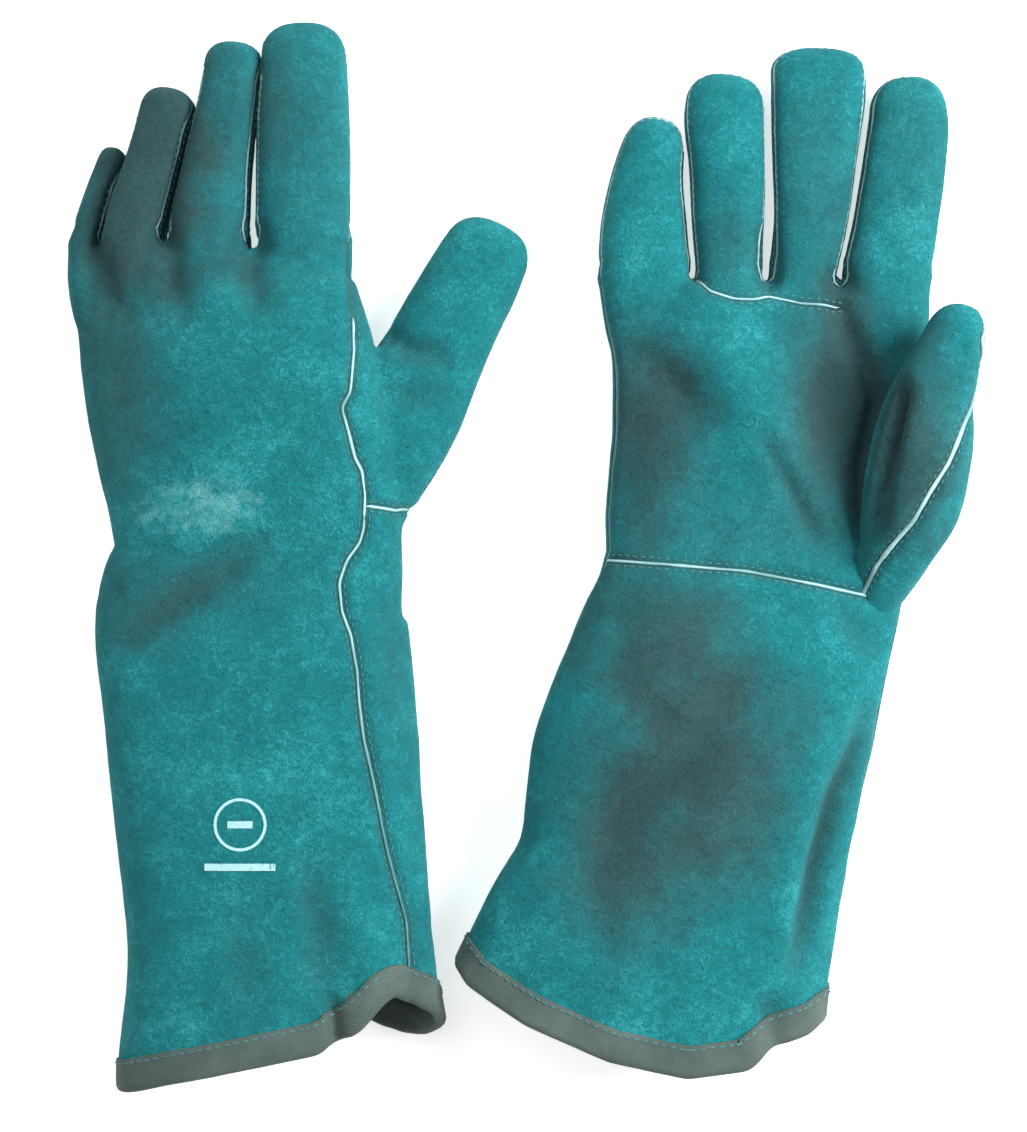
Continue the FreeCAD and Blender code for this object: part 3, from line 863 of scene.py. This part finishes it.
def suede_material(group):
    material, tree, shader = node_tree_of("split_leather")
    nap = use_nap(tree, group)
    painted_shade_and_dirt, wear = value_of(tree, "painted_shade_and_dirt"), value_of(tree, "wear")
    tone = maths(tree, "MULTIPLY_ADD", nap["Clumps"], 0.55, 0.0)
    tone = maths(tree, "MULTIPLY_ADD", nap["Mottle"], 0.38, tone)
    tone = maths(tree, "MULTIPLY_ADD", nap["Grain"], 0.57, tone)
    tone = maths(tree, "MULTIPLY_ADD", wear, 0.10, tone)
    # the darkening attribute, painted shade with some dirt, lowers the tone
    tone = maths(tree, "MULTIPLY_ADD", painted_shade_and_dirt, -0.20, tone)
    colour = ramp(tree, tone, [(0.30, (0.008, 0.052, 0.060)), (0.60, (0.008, 0.118, 0.132)),
                               (0.82, (0.010, 0.200, 0.220)), (1.05, (0.040, 0.360, 0.380))])
    # darker colour blended in for the painted shade and dirt
    shade_and_dirt_colour = ramp(tree, tone, [(0.15, (0.016, 0.032, 0.033)), (0.50, (0.028, 0.064, 0.067)), (0.9, (0.050, 0.120, 0.124))])
    colour = blend_colours(tree, maths(tree, "MULTIPLY", painted_shade_and_dirt, 0.80, clamp=True), colour, shade_and_dirt_colour)
    frayed = maths(tree, "MULTIPLY", maths(tree, "SUBTRACT", wear, 0.95, clamp=True), nap["Clumps"])
    frayed = maths(tree, "MULTIPLY", maths(tree, "MULTIPLY", frayed, nap["Grain"]), 2.6, clamp=True)
    colour = blend_colours(tree, frayed, colour, (0.30, 0.60, 0.60))
    tree.links.new(colour, shader.inputs["Base Color"])
    shader.inputs["Roughness"].default_value = 0.95
    shader.inputs["Specular IOR Level"].default_value = 0.12
    shader.inputs["Sheen Weight"].default_value = 0.10
    shader.inputs["Sheen Roughness"].default_value = 0.55
    shader.inputs["Sheen Tint"].default_value = (0.35, 0.85, 0.88, 1)
    bump(tree, shader, nap["Height"], 0.0011)
    return material


def welt_material(group):
    material, tree, shader = node_tree_of("welt")
    nap = use_nap(tree, group)
    pale = value_of(tree, "pale")
    light = blend_colours(tree, nap["Clumps"], (0.30, 0.60, 0.62), (0.62, 0.86, 0.87))
    colour = blend_colours(tree, pale, (0.02, 0.17, 0.18), light)
    tree.links.new(colour, shader.inputs["Base Color"])
    shader.inputs["Roughness"].default_value = 0.75
    bump(tree, shader, nap["Height"], 0.0004)
    return material


def thread_material():
    material, tree, shader = node_tree_of("thread")
    vector = object_vector(tree)
    twist = noise_node(tree, vector, 2600, 2, 0.6)
    colour = blend_colours(tree, twist, (0.03, 0.20, 0.21), (0.08, 0.32, 0.33))
    tree.links.new(colour, shader.inputs["Base Color"])
    shader.inputs["Roughness"].default_value = 0.6
    bump(tree, shader, twist, 0.0002)
    return material


def binding_material(group):
    material, tree, shader = node_tree_of("binding")
    uv = tree.nodes.new("ShaderNodeUVMap")
    uv.uv_map = "tape"
    split_uv = tree.nodes.new("ShaderNodeSeparateXYZ")
    tree.links.new(uv.outputs[0], split_uv.inputs[0])
    along = maths(tree, "SINE", maths(tree, "MULTIPLY", split_uv.outputs[0], 2 * math.pi / 1.1))
    across = maths(tree, "SINE", maths(tree, "MULTIPLY", split_uv.outputs[1], 2 * math.pi / 0.9))
    weave = maths(tree, "MULTIPLY_ADD", maths(tree, "MULTIPLY", along, across), 0.5, 0.5)
    nap = use_nap(tree, group)
    tone = maths(tree, "MULTIPLY_ADD", weave, 0.4, maths(tree, "MULTIPLY", nap["Mottle"], 0.75))
    colour = ramp(tree, tone, [(0.2, (0.040, 0.066, 0.058)), (0.6, (0.082, 0.122, 0.110)), (0.9, (0.150, 0.200, 0.180))])
    tree.links.new(colour, shader.inputs["Base Color"])
    shader.inputs["Roughness"].default_value = 0.88
    bump(tree, shader, maths(tree, "ADD", weave, nap["Grain"]), 0.00025)
    return material


def lining_material(group):
    material, tree, shader = node_tree_of("lining")
    nap = use_nap(tree, group)
    colour = blend_colours(tree, nap["Clumps"], (0.20, 0.19, 0.165), (0.40, 0.385, 0.34))
    tree.links.new(colour, shader.inputs["Base Color"])
    shader.inputs["Roughness"].default_value = 0.95
    shader.inputs["Sheen Weight"].default_value = 0.3
    bump(tree, shader, nap["Height"], 0.0008)
    return material


def print_material(group):
    material, tree, shader = node_tree_of("print_ink")
    nap = use_nap(tree, group)
    colour = blend_colours(tree, maths(tree, "GREATER_THAN", nap["Clumps"], 0.37), (0.10, 0.42, 0.44),
                           (0.42, 0.74, 0.76))
    tree.links.new(colour, shader.inputs["Base Color"])
    shader.inputs["Roughness"].default_value = 0.8
    bump(tree, shader, nap["Height"], 0.0006)
    return material

# ------------------------------------------------------------------ stitches


def stitch_tree():
    """Geometry Nodes: one rounded stitch on every point, lying along its own direction."""
    tree = bpy.data.node_groups.new("stitch_row", "GeometryNodeTree")
    interface = tree.interface
    interface.new_socket("Geometry", in_out="INPUT", socket_type="NodeSocketGeometry")
    inputs = {}
    for label, kind, value in (("Stitch length", "NodeSocketFloat", 0.0021), ("Thread thickness", "NodeSocketFloat", 0.0005),
                               ("Unevenness", "NodeSocketFloat", 0.12), ("Thread", "NodeSocketMaterial", None)):
        socket = interface.new_socket(label, in_out="INPUT", socket_type=kind)
        if value is not None:
            socket.default_value = value
        inputs[label] = socket.identifier
    interface.new_socket("Geometry", in_out="OUTPUT", socket_type="NodeSocketGeometry")
    nodes, links = tree.nodes, tree.links
    start, end = nodes.new("NodeGroupInput"), nodes.new("NodeGroupOutput")
    ball = nodes.new("GeometryNodeMeshUVSphere")
    ball.inputs["Segments"].default_value = 8
    ball.inputs["Rings"].default_value = 6
    ball.inputs["Radius"].default_value = 0.5
    size = nodes.new("ShaderNodeCombineXYZ")
    links.new(start.outputs["Stitch length"], size.inputs[0])
    links.new(start.outputs["Thread thickness"], size.inputs[1])
    links.new(start.outputs["Thread thickness"], size.inputs[2])
    shape = nodes.new("GeometryNodeTransform")
    links.new(ball.outputs["Mesh"], shape.inputs["Geometry"])
    links.new(size.outputs[0], shape.inputs["Scale"])
    direction = nodes.new("GeometryNodeInputNamedAttribute")
    direction.data_type = "FLOAT_VECTOR"
    direction.inputs["Name"].default_value = "direction"
    turn = nodes.new("FunctionNodeAlignRotationToVector")
    turn.axis = "X"
    links.new(direction.outputs["Attribute"], turn.inputs["Vector"])
    lean = nodes.new("FunctionNodeRandomValue")
    lean.data_type = "FLOAT_VECTOR"
    lean.inputs["Seed"].default_value = 7
    negative = nodes.new("ShaderNodeMath")
    negative.operation = "MULTIPLY"
    negative.inputs[1].default_value = -1
    links.new(start.outputs["Unevenness"], negative.inputs[0])
    links.new(negative.outputs[0], lean.inputs[0])
    links.new(start.outputs["Unevenness"], lean.inputs[1])
    tilt = nodes.new("FunctionNodeEulerToRotation")
    links.new(lean.outputs[0], tilt.inputs[0])
    rotate = nodes.new("FunctionNodeRotateRotation")
    links.new(turn.outputs["Rotation"], rotate.inputs[0])
    links.new(tilt.outputs[0], rotate.inputs[1])
    copies = nodes.new("GeometryNodeInstanceOnPoints")
    links.new(start.outputs["Geometry"], copies.inputs["Points"])
    links.new(shape.outputs["Geometry"], copies.inputs["Instance"])
    links.new(rotate.outputs[0], copies.inputs["Rotation"])
    real = nodes.new("GeometryNodeRealizeInstances")
    links.new(copies.outputs["Instances"], real.inputs["Geometry"])
    smooth = nodes.new("GeometryNodeSetShadeSmooth")
    links.new(real.outputs["Geometry"], smooth.inputs["Geometry"])
    paint = nodes.new("GeometryNodeSetMaterial")
    links.new(smooth.outputs["Geometry"], paint.inputs["Geometry"])
    links.new(start.outputs["Thread"], paint.inputs["Material"])
    links.new(paint.outputs["Geometry"], end.inputs["Geometry"])
    return tree, inputs


def stitch_object(name, tree, inputs, rows, thread, length=2.0, thickness=0.45):
    """A mesh of stitches from rows of (points, directions)."""
    if not rows:
        return None
    points = np.concatenate([row[0] for row in rows])
    directions = np.concatenate([row[1] for row in rows])
    obj = new_object(name, points * MM, [])
    attribute = obj.data.attributes.new("direction", "FLOAT_VECTOR", "POINT")
    attribute.data.foreach_set("vector", directions.astype(np.float32).ravel())
    modifier = obj.modifiers.new("stitches", "NODES")
    modifier.node_group = tree
    modifier[inputs["Stitch length"]] = length * MM
    modifier[inputs["Thread thickness"]] = thickness * MM
    modifier[inputs["Thread"]] = thread
    mesh = evaluated_mesh(obj)
    old = obj.data
    obj.modifiers.remove(modifier)
    obj.data = mesh
    bpy.data.meshes.remove(old)
    if not obj.data.materials:
        obj.data.materials.append(thread)
    return obj


def surface_of(*skins):
    """A search tree over the skins, in mm."""
    verts, triangles, offset = [], [], 0
    for skin in skins:
        verts.append(skin.verts)
        triangles.append(skin.triangles + offset)
        offset += len(skin.verts)
    from mathutils.bvhtree import BVHTree
    return BVHTree.FromPolygons(np.concatenate(verts).tolist(), np.concatenate(triangles).tolist())


def onto(surface, points, lift):
    """Points moved to the surface and raised by lift."""
    out = []
    for point in points:
        place, normal, _, _ = surface.find_nearest(point)
        out.append(place + normal * lift)
    return np.array(out)


def stitches_beside(lines, surface, aside, pitch=3.0, lift=0.15):
    """Rows of (points, directions) running aside mm from each seam line, on the surface."""
    rows = []
    for line in lines:
        if line_length(line) < 8:
            continue
        line = even_line(line, pitch, 12)
        points, normals = line[:, POSITION], line[:, NORMAL]
        tangents = np.gradient(points, axis=0)
        tangents /= np.maximum(np.linalg.norm(tangents, axis=1), 1e-9)[:, None]
        sideways = np.cross(normals, tangents)
        placed = onto(surface, points + sideways * aside, lift)
        direction = np.gradient(placed, axis=0)
        rows.append((placed, direction))
    return rows


# ------------------------------------------------------------------ assembling one glove


def bend_fingers(obj, glove, finger):
    """Bakes a finger piece's transform into its mesh."""
    rows, _ = glove.table[finger]
    rows = np.array(rows, float)
    glove.body("hand")
    glove.body(finger)
    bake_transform(obj)


def bend_wrist(obj, glove):
    joint = next(j for j in frame["joints"] if j["name"] == glove.body("wrist"))
    glove.body("cuff")
    glove.body("hand")
    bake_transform(obj)


def bend_thumb(obj, glove):
    glove.body("hand")
    glove.body("thumb")
    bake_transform(obj)


def dress(glove, name, section, bend, nodes, tools, pale=(1.0, 0.5, 0.5)):
    """Cut one stretch of skin along its seams and make its panels."""
    materials, surface, tree, inputs = tools
    top_name, side_name, bottom_name = nodes
    upper, rest, upper_lines = split(section, section.data[:, UPPER])
    middle, lower, lower_lines = split(rest, rest.data[:, LOWER])
    made = []
    for label, skin, stands_for in zip(("top", "side", "bottom"), (upper, middle, lower), nodes):
        if len(skin.triangles) < 40 or stands_for is None:
            continue
        piece_name, replaced = stands_for
        obj = make_piece(glove.body(piece_name), skin, materials["suede"])
        if replaced:
            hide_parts(*[glove.body(node) for node in replaced])
        bend(obj)
        made.append(obj)
    return upper, middle, lower, upper_lines, lower_lines


def build_glove(side, table, materials, tree, inputs):
    glove = Glove(side, table)
    voxel = 1.12
    limbs = ("cuff",) + FINGERS + (("thumb",) if glove.back_up else ())
    whole = glove.skin(limbs, voxel)
    cuffed, _, hem_lines = split(whole, whole.data[:, HEM])
    thumb_skin = None
    ends = cuffed.data[:, ENDS]
    if glove.back_up:
        ends = np.minimum(ends, -59 - cuffed.data[:, 0])
    finger_skin, main, _ = split(cuffed, ends)
    if glove.back_up:
        root = np.minimum(main.data[:, ROOT], main.data[:, 0] + 59)
        thumb_skin, main, _ = split(main, root)
    else:
        thumb_skin = glove.skin(("thumb",), voxel * 0.9, is_thumb=True)
    surface = surface_of(cuffed, thumb_skin) if not glove.back_up else surface_of(cuffed)
    tools = (materials, surface, tree, inputs)

    # the hand and cuff
    hand_bend = lambda obj: bend_wrist(obj, glove)
    top, palm = ("back", "palm") if glove.back_up else ("palm", "back")
    back_nodes = ("cuff_back", "hand_back")
    upper, lower_all, seam_lines = split(main, main.data[:, UPPER])
    back_skin, palm_skin = (upper, lower_all) if glove.back_up else (lower_all, upper)
    cuff_palm, hand_palm, wrist_lines = None, None, None
    hand_palm, cuff_palm, wrist_lines = split(palm_skin, palm_skin.data[:, WRIST])
    for name, skin, replaced in (("back_leather", back_skin, back_nodes), ("palm_leather", hand_palm, ("palm",)),
                                 ("cuff_palm_leather", cuff_palm, ("cuff_palm",))):
        obj = make_piece(glove.body(name), skin, materials["suede"])
        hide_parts(*[glove.body(node) for node in replaced])
        hand_bend(obj)
    seam_lines = [line for line in seam_lines if line_length(line) > 40][:2]
    seam_lines.sort(key=lambda line: -line[:, 0].mean())
    thumb_side, little_side = seam_lines[0], seam_lines[1]
    wrist_lines = [line for line in wrist_lines if line_length(line) > 20]
    base_lines = []
    if not glove.back_up:
        _, _, base_lines = split(upper, upper.data[:, BASE])
        base_lines = [between_ends(line, glove.table["finger_base_seam"]) for line in base_lines[:1]]
    cuff_welt = np.array([row for row in thumb_side if row[1] < glove.root[1] - 30])
    welt_top = 88 if glove.back_up else 200
    hand_welt = np.array([row for row in thumb_side if glove.root[1] - 31 <= row[1] < welt_top])
    pale_side = 1.0 if glove.back_up else 0.15
    groups = (("thumb_side_welt_strip", [hand_welt], ("thumb_side_welt",), pale_side, 0.54),
              ("cuff_side_welt_strip", [cuff_welt], ("cuff_thumb_side_welt",), pale_side * 0.75, 0.5),
              ("little_side_welt_strip", [little_side], ("little_side_welt",), 0.35, 0.5),
              ("wrist_welt_strip", wrist_lines, ("wrist_welt",), 1.0, 0.55),
              ("finger_base_welt_strip", base_lines, (), 0.85, 0.45))
    rows = []
    for name, lines, replaced, pale, radius in groups:
        obj = welts(glove.body(name), [line for line in lines if len(line) > 8], materials["welt"], radius, pale)
        if obj is None:
            continue
        if replaced:
            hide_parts(*[glove.body(node) for node in replaced])
        hand_bend(obj)
        for aside in (2.3, -2.3):
            rows += stitches_beside(lines, surface, aside)
    obj = stitch_object(glove.body("hand_stitches"), tree, inputs, rows, materials["thread"])
    hand_bend(obj)

    # fingers
    number = glove.finger_of(finger_skin.verts[finger_skin.triangles].mean(axis=1))
    for k, finger in enumerate(FINGERS):
        section = Skin(finger_skin.data, finger_skin.triangles[number == k]).compact()
        names = ("back", "fourchette", "front") if glove.back_up else ("front", "fourchette", "back")
        build_limb(glove, finger, section, names, tools, lambda obj: bend_fingers(obj, glove, finger))
    names = ("back", None, "front") if glove.back_up else ("front", None, "back")
    build_limb(glove, "thumb", thumb_skin, names, tools, lambda obj: bend_thumb(obj, glove))

    inside, _, _ = split(main, main.data[:, HEM] - 2.5)
    build_lining(glove, "hand_and_cuff_inner", inside, materials["lining"], ("cuff_lining", "hand_lining"), hand_bend)
    build_binding(glove, hem_lines[0], surface, materials, tree, inputs)
    return glove, surface


def build_limb(glove, limb, section, names, tools, bend):
    materials, surface, tree, inputs = tools
    upper, rest, upper_lines = split(section, section.data[:, THUMB if limb == "thumb" else UPPER])
    if names[1]:
        middle, lower, lower_lines = split(rest, rest.data[:, LOWER])
    else:
        middle, lower, lower_lines = None, rest, []
    for name, skin in zip(names, (upper, middle, lower)):
        if skin is None:
            continue
        obj = make_piece(glove.body(f"{limb}_{name}_leather"), skin, materials["suede"])
        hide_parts(glove.body(f"{limb}_{name}"))
        bend(obj)
    bold = 1.0 if limb == "thumb" and not glove.back_up else 0.8
    lines = [line for line in upper_lines if line_length(line) > 10]
    if bold == 1.0:
        lines = [line[np.abs(along_polyline(glove.table["thumb_welt"], line[:, :3])[0]) < 5] for line in lines]
    radius = 0.85 if bold == 1.0 else 0.45
    build_lining(glove, f"{limb}_inner", section, materials["lining"], (f"{limb}_lining",), bend)
    obj = welts(glove.body(f"{limb}_welt_strip"), lines, materials["welt"], radius, bold, seed=limb.count("i") * 3.0)
    if obj:
        bend(obj)
    rows = []
    for aside in (2.1, -2.1):
        rows += stitches_beside(lines, surface, aside)
    rows += stitches_beside(lower_lines, surface, 1.8)
    obj = stitch_object(glove.body(f"{limb}_stitches"), tree, inputs, rows, materials["thread"])
    if obj:
        bend(obj)


def build_lining(glove, name, skin, material, replaced, bend):
    """A cotton lining a little inside a stretch of leather."""
    obj = make_piece(glove.body(name), skin, material, -3.3, flip=True)
    thin = obj.modifiers.new("fewer", "DECIMATE")
    thin.ratio = 0.22
    mesh = evaluated_mesh(obj)
    old = obj.data
    obj.modifiers.remove(thin)
    obj.data = mesh
    bpy.data.meshes.remove(old)
    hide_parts(*[glove.body(node) for node in replaced])
    bend(obj)


def build_binding(glove, line, surface, materials, tree, inputs):
    """Woven tape folded over the cuff's edge."""
    loop = even_line(line, 1.6, 10)
    points, normals = loop[:, POSITION], loop[:, NORMAL]
    normals /= np.linalg.norm(normals, axis=1)[:, None]
    tangents = np.gradient(points, axis=0)
    tangents[0] = tangents[-1] = points[1] - points[-2]
    tangents /= np.linalg.norm(tangents, axis=1)[:, None]
    inward = np.cross(normals, tangents)
    inward *= np.sign(inward[:, 1].mean())
    inward /= np.linalg.norm(inward, axis=1)[:, None]
    height = 10.2
    columns, across = [], []
    for step in np.linspace(1, 0, 8):
        depth = height * step + 0.25 * noise_at(points, 9, 4.0) * (step == 1)
        outer = onto(surface, points + inward * depth[:, None] if np.ndim(depth) else points + inward * depth, 0.95)
        columns.append(outer)
        across.append((1 - step) * height)
    for turn in np.linspace(0.2, 0.8, 5) * math.pi:
        columns.append(points + normals * (-1.3 + 2.25 * math.cos(turn)) - inward[:, :] * 2.0 * math.sin(turn))
        across.append(height + turn * 2.2)
    for step in np.linspace(0, 1, 6):
        columns.append(points + inward * height * step - normals * 3.55)
        across.append(height + 7 + step * height)
    grid = np.stack(columns, axis=1)[:-1]
    count, width = grid.shape[:2]
    verts = grid.reshape(-1, 3)
    faces, uvs = [], []
    travelled = np.concatenate([[0], np.cumsum(np.linalg.norm(np.diff(points, axis=0), axis=1))])
    for ring in range(count):
        after = (ring + 1) % count
        for k in range(width - 1):
            faces.append((ring * width + k, after * width + k, after * width + k + 1, ring * width + k + 1))
            a, b = travelled[ring], travelled[ring + 1]
            uvs += [(a, across[k]), (b, across[k]), (b, across[k + 1]), (a, across[k + 1])]
    obj = new_object(glove.body("hem_tape"), verts * MM, faces)
    layer = obj.data.uv_layers.new(name="tape")
    layer.data.foreach_set("uv", np.array(uvs, np.float32).ravel())
    obj.data.polygons.foreach_set("use_smooth", [True] * len(obj.data.polygons))
    first = obj.data.polygons[0]
    if np.dot(np.array(first.normal), normals[0]) < 0:
        obj.data.flip_normals()
    solid = obj.modifiers.new("thickness", "SOLIDIFY")
    solid.thickness = 0.0007
    solid.offset = -1
    mesh = evaluated_mesh(obj)
    old = obj.data
    obj.modifiers.remove(solid)
    obj.data = mesh
    bpy.data.meshes.remove(old)
    obj.data.materials.append(materials["binding"])
    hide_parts(glove.body("hem_binding"))
    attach(obj, glove.body("cuff"))
    rows = []
    tape = np.concatenate([points, normals], axis=1)
    spaced = even_line(tape, 3.4, 2)
    side = np.stack([np.interp(np.linspace(0, 1, len(spaced)), np.linspace(0, 1, len(inward)), inward[:, k])
                     for k in range(3)], axis=1)
    placed = onto(surface, spaced[:, POSITION] + side * (height - 1.6), 1.15)
    rows.append((placed, np.gradient(placed, axis=0)))
    stitched = stitch_object(glove.body("hem_stitches"), tree, inputs, rows, materials["tape_thread"], 2.4, 0.6)
    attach(stitched, glove.body("cuff"))


def build_print(glove, surface, material):
    """A plain ring with a bar under it, printed on the back of the cuff."""
    centre = np.array([-105.5, -99.0])
    radii, rows = np.linspace(8.6, 9.7, 4), np.linspace(-1.3, 1.3, 6)
    ring = [[centre + r * np.array([math.cos(a), math.sin(a)]) for r in radii] for a in np.linspace(0, 2 * math.pi, 97)]
    bars = [[[centre + (half * u, y + v) for v in rows] for u in np.linspace(-1, 1, 60)]
            for y, half in ((0, 4.6), (-15.5, 13))]
    verts, faces = [], []
    for grid in (ring, *bars):
        offset, width = len(verts), len(grid[0])
        for x, y in (point for line in grid for point in line):
            place, _, _, _ = surface.ray_cast(Vector((x, y, 200)), Vector((0, 0, -1)))
            verts.append((x, y, place.z + 0.35))
        for k in range(len(grid) - 1):
            for j in range(width - 1):
                a = offset + k * width + j
                faces.append((a, a + width, a + width + 1, a + 1))
    obj = new_object(glove.body("cuff_print"), np.array(verts) * MM, faces)
    if obj.data.polygons[0].normal.z < 0:
        obj.data.flip_normals()
    obj.data.polygons.foreach_set("use_smooth", [True] * len(obj.data.polygons))
    obj.data.materials.append(material)
    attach(obj, glove.body("cuff"))


# ------------------------------------------------------------------ scene

nap = nap_group()
MATERIALS = {
    "suede": suede_material(nap),
    "welt": welt_material(nap),
    "thread": thread_material(),
    "tape_thread": thread_material(),
    "binding": binding_material(nap),
    "lining": lining_material(nap),
    "print": print_material(nap),
}
stitch_nodes, stitch_inputs = stitch_tree()
left_glove, left_surface = build_glove("left", LEFT, MATERIALS, stitch_nodes, stitch_inputs)
build_print(left_glove, left_surface, MATERIALS["print"])
build_glove("right", RIGHT, MATERIALS, stitch_nodes, stitch_inputs)


def add_light(name, place, size, energy, aim=(0, 0, 0)):
    light = bpy.data.lights.new(name, "AREA")
    light.energy = energy
    light.size = size
    obj = bpy.data.objects.new(name, light)
    obj.location = place
    obj.rotation_euler = (Vector(place) - Vector(aim)).to_track_quat("Z", "Y").to_euler()
    bpy.context.scene.collection.objects.link(obj)


add_light("key", (0.84, 0.30, 0.88), 0.6, 23.5)
add_light("fill", (-0.5, 0.4, 1.3), 0.9, 7)

world = bpy.data.worlds.new("studio")
bpy.context.scene.world = world
world.use_nodes = True
world.node_tree.nodes["Background"].inputs[0].default_value = (1, 1, 1, 1)
world.node_tree.nodes["Background"].inputs[1].default_value = 0.30

floor = new_object("floor", np.array([(-3, -3, 0), (3, -3, 0), (3, 3, 0), (-3, 3, 0)], float), [(0, 1, 2, 3)])
floor_material, floor_tree, floor_shader = node_tree_of("floor")
floor_shader.inputs["Base Color"].default_value = (0.93, 0.93, 0.93, 1)
floor_shader.inputs["Roughness"].default_value = 0.9
floor_shader.inputs["Emission Color"].default_value = (1, 1, 1, 1)
floor_shader.inputs["Emission Strength"].default_value = 0.62
floor.data.materials.append(floor_material)

camera_data = bpy.data.cameras.new("camera")
camera = bpy.data.objects.new("camera", camera_data)
bpy.context.scene.collection.objects.link(camera)
camera_data.lens = 100
camera_data.sensor_fit = "VERTICAL"
camera_data.sensor_height = 36
camera.location = (-0.0054, -0.0043, 0.03 + 0.4222 * 100 / 36)
bpy.context.scene.camera = camera
bpy.context.scene.view_settings.view_transform = "Standard"
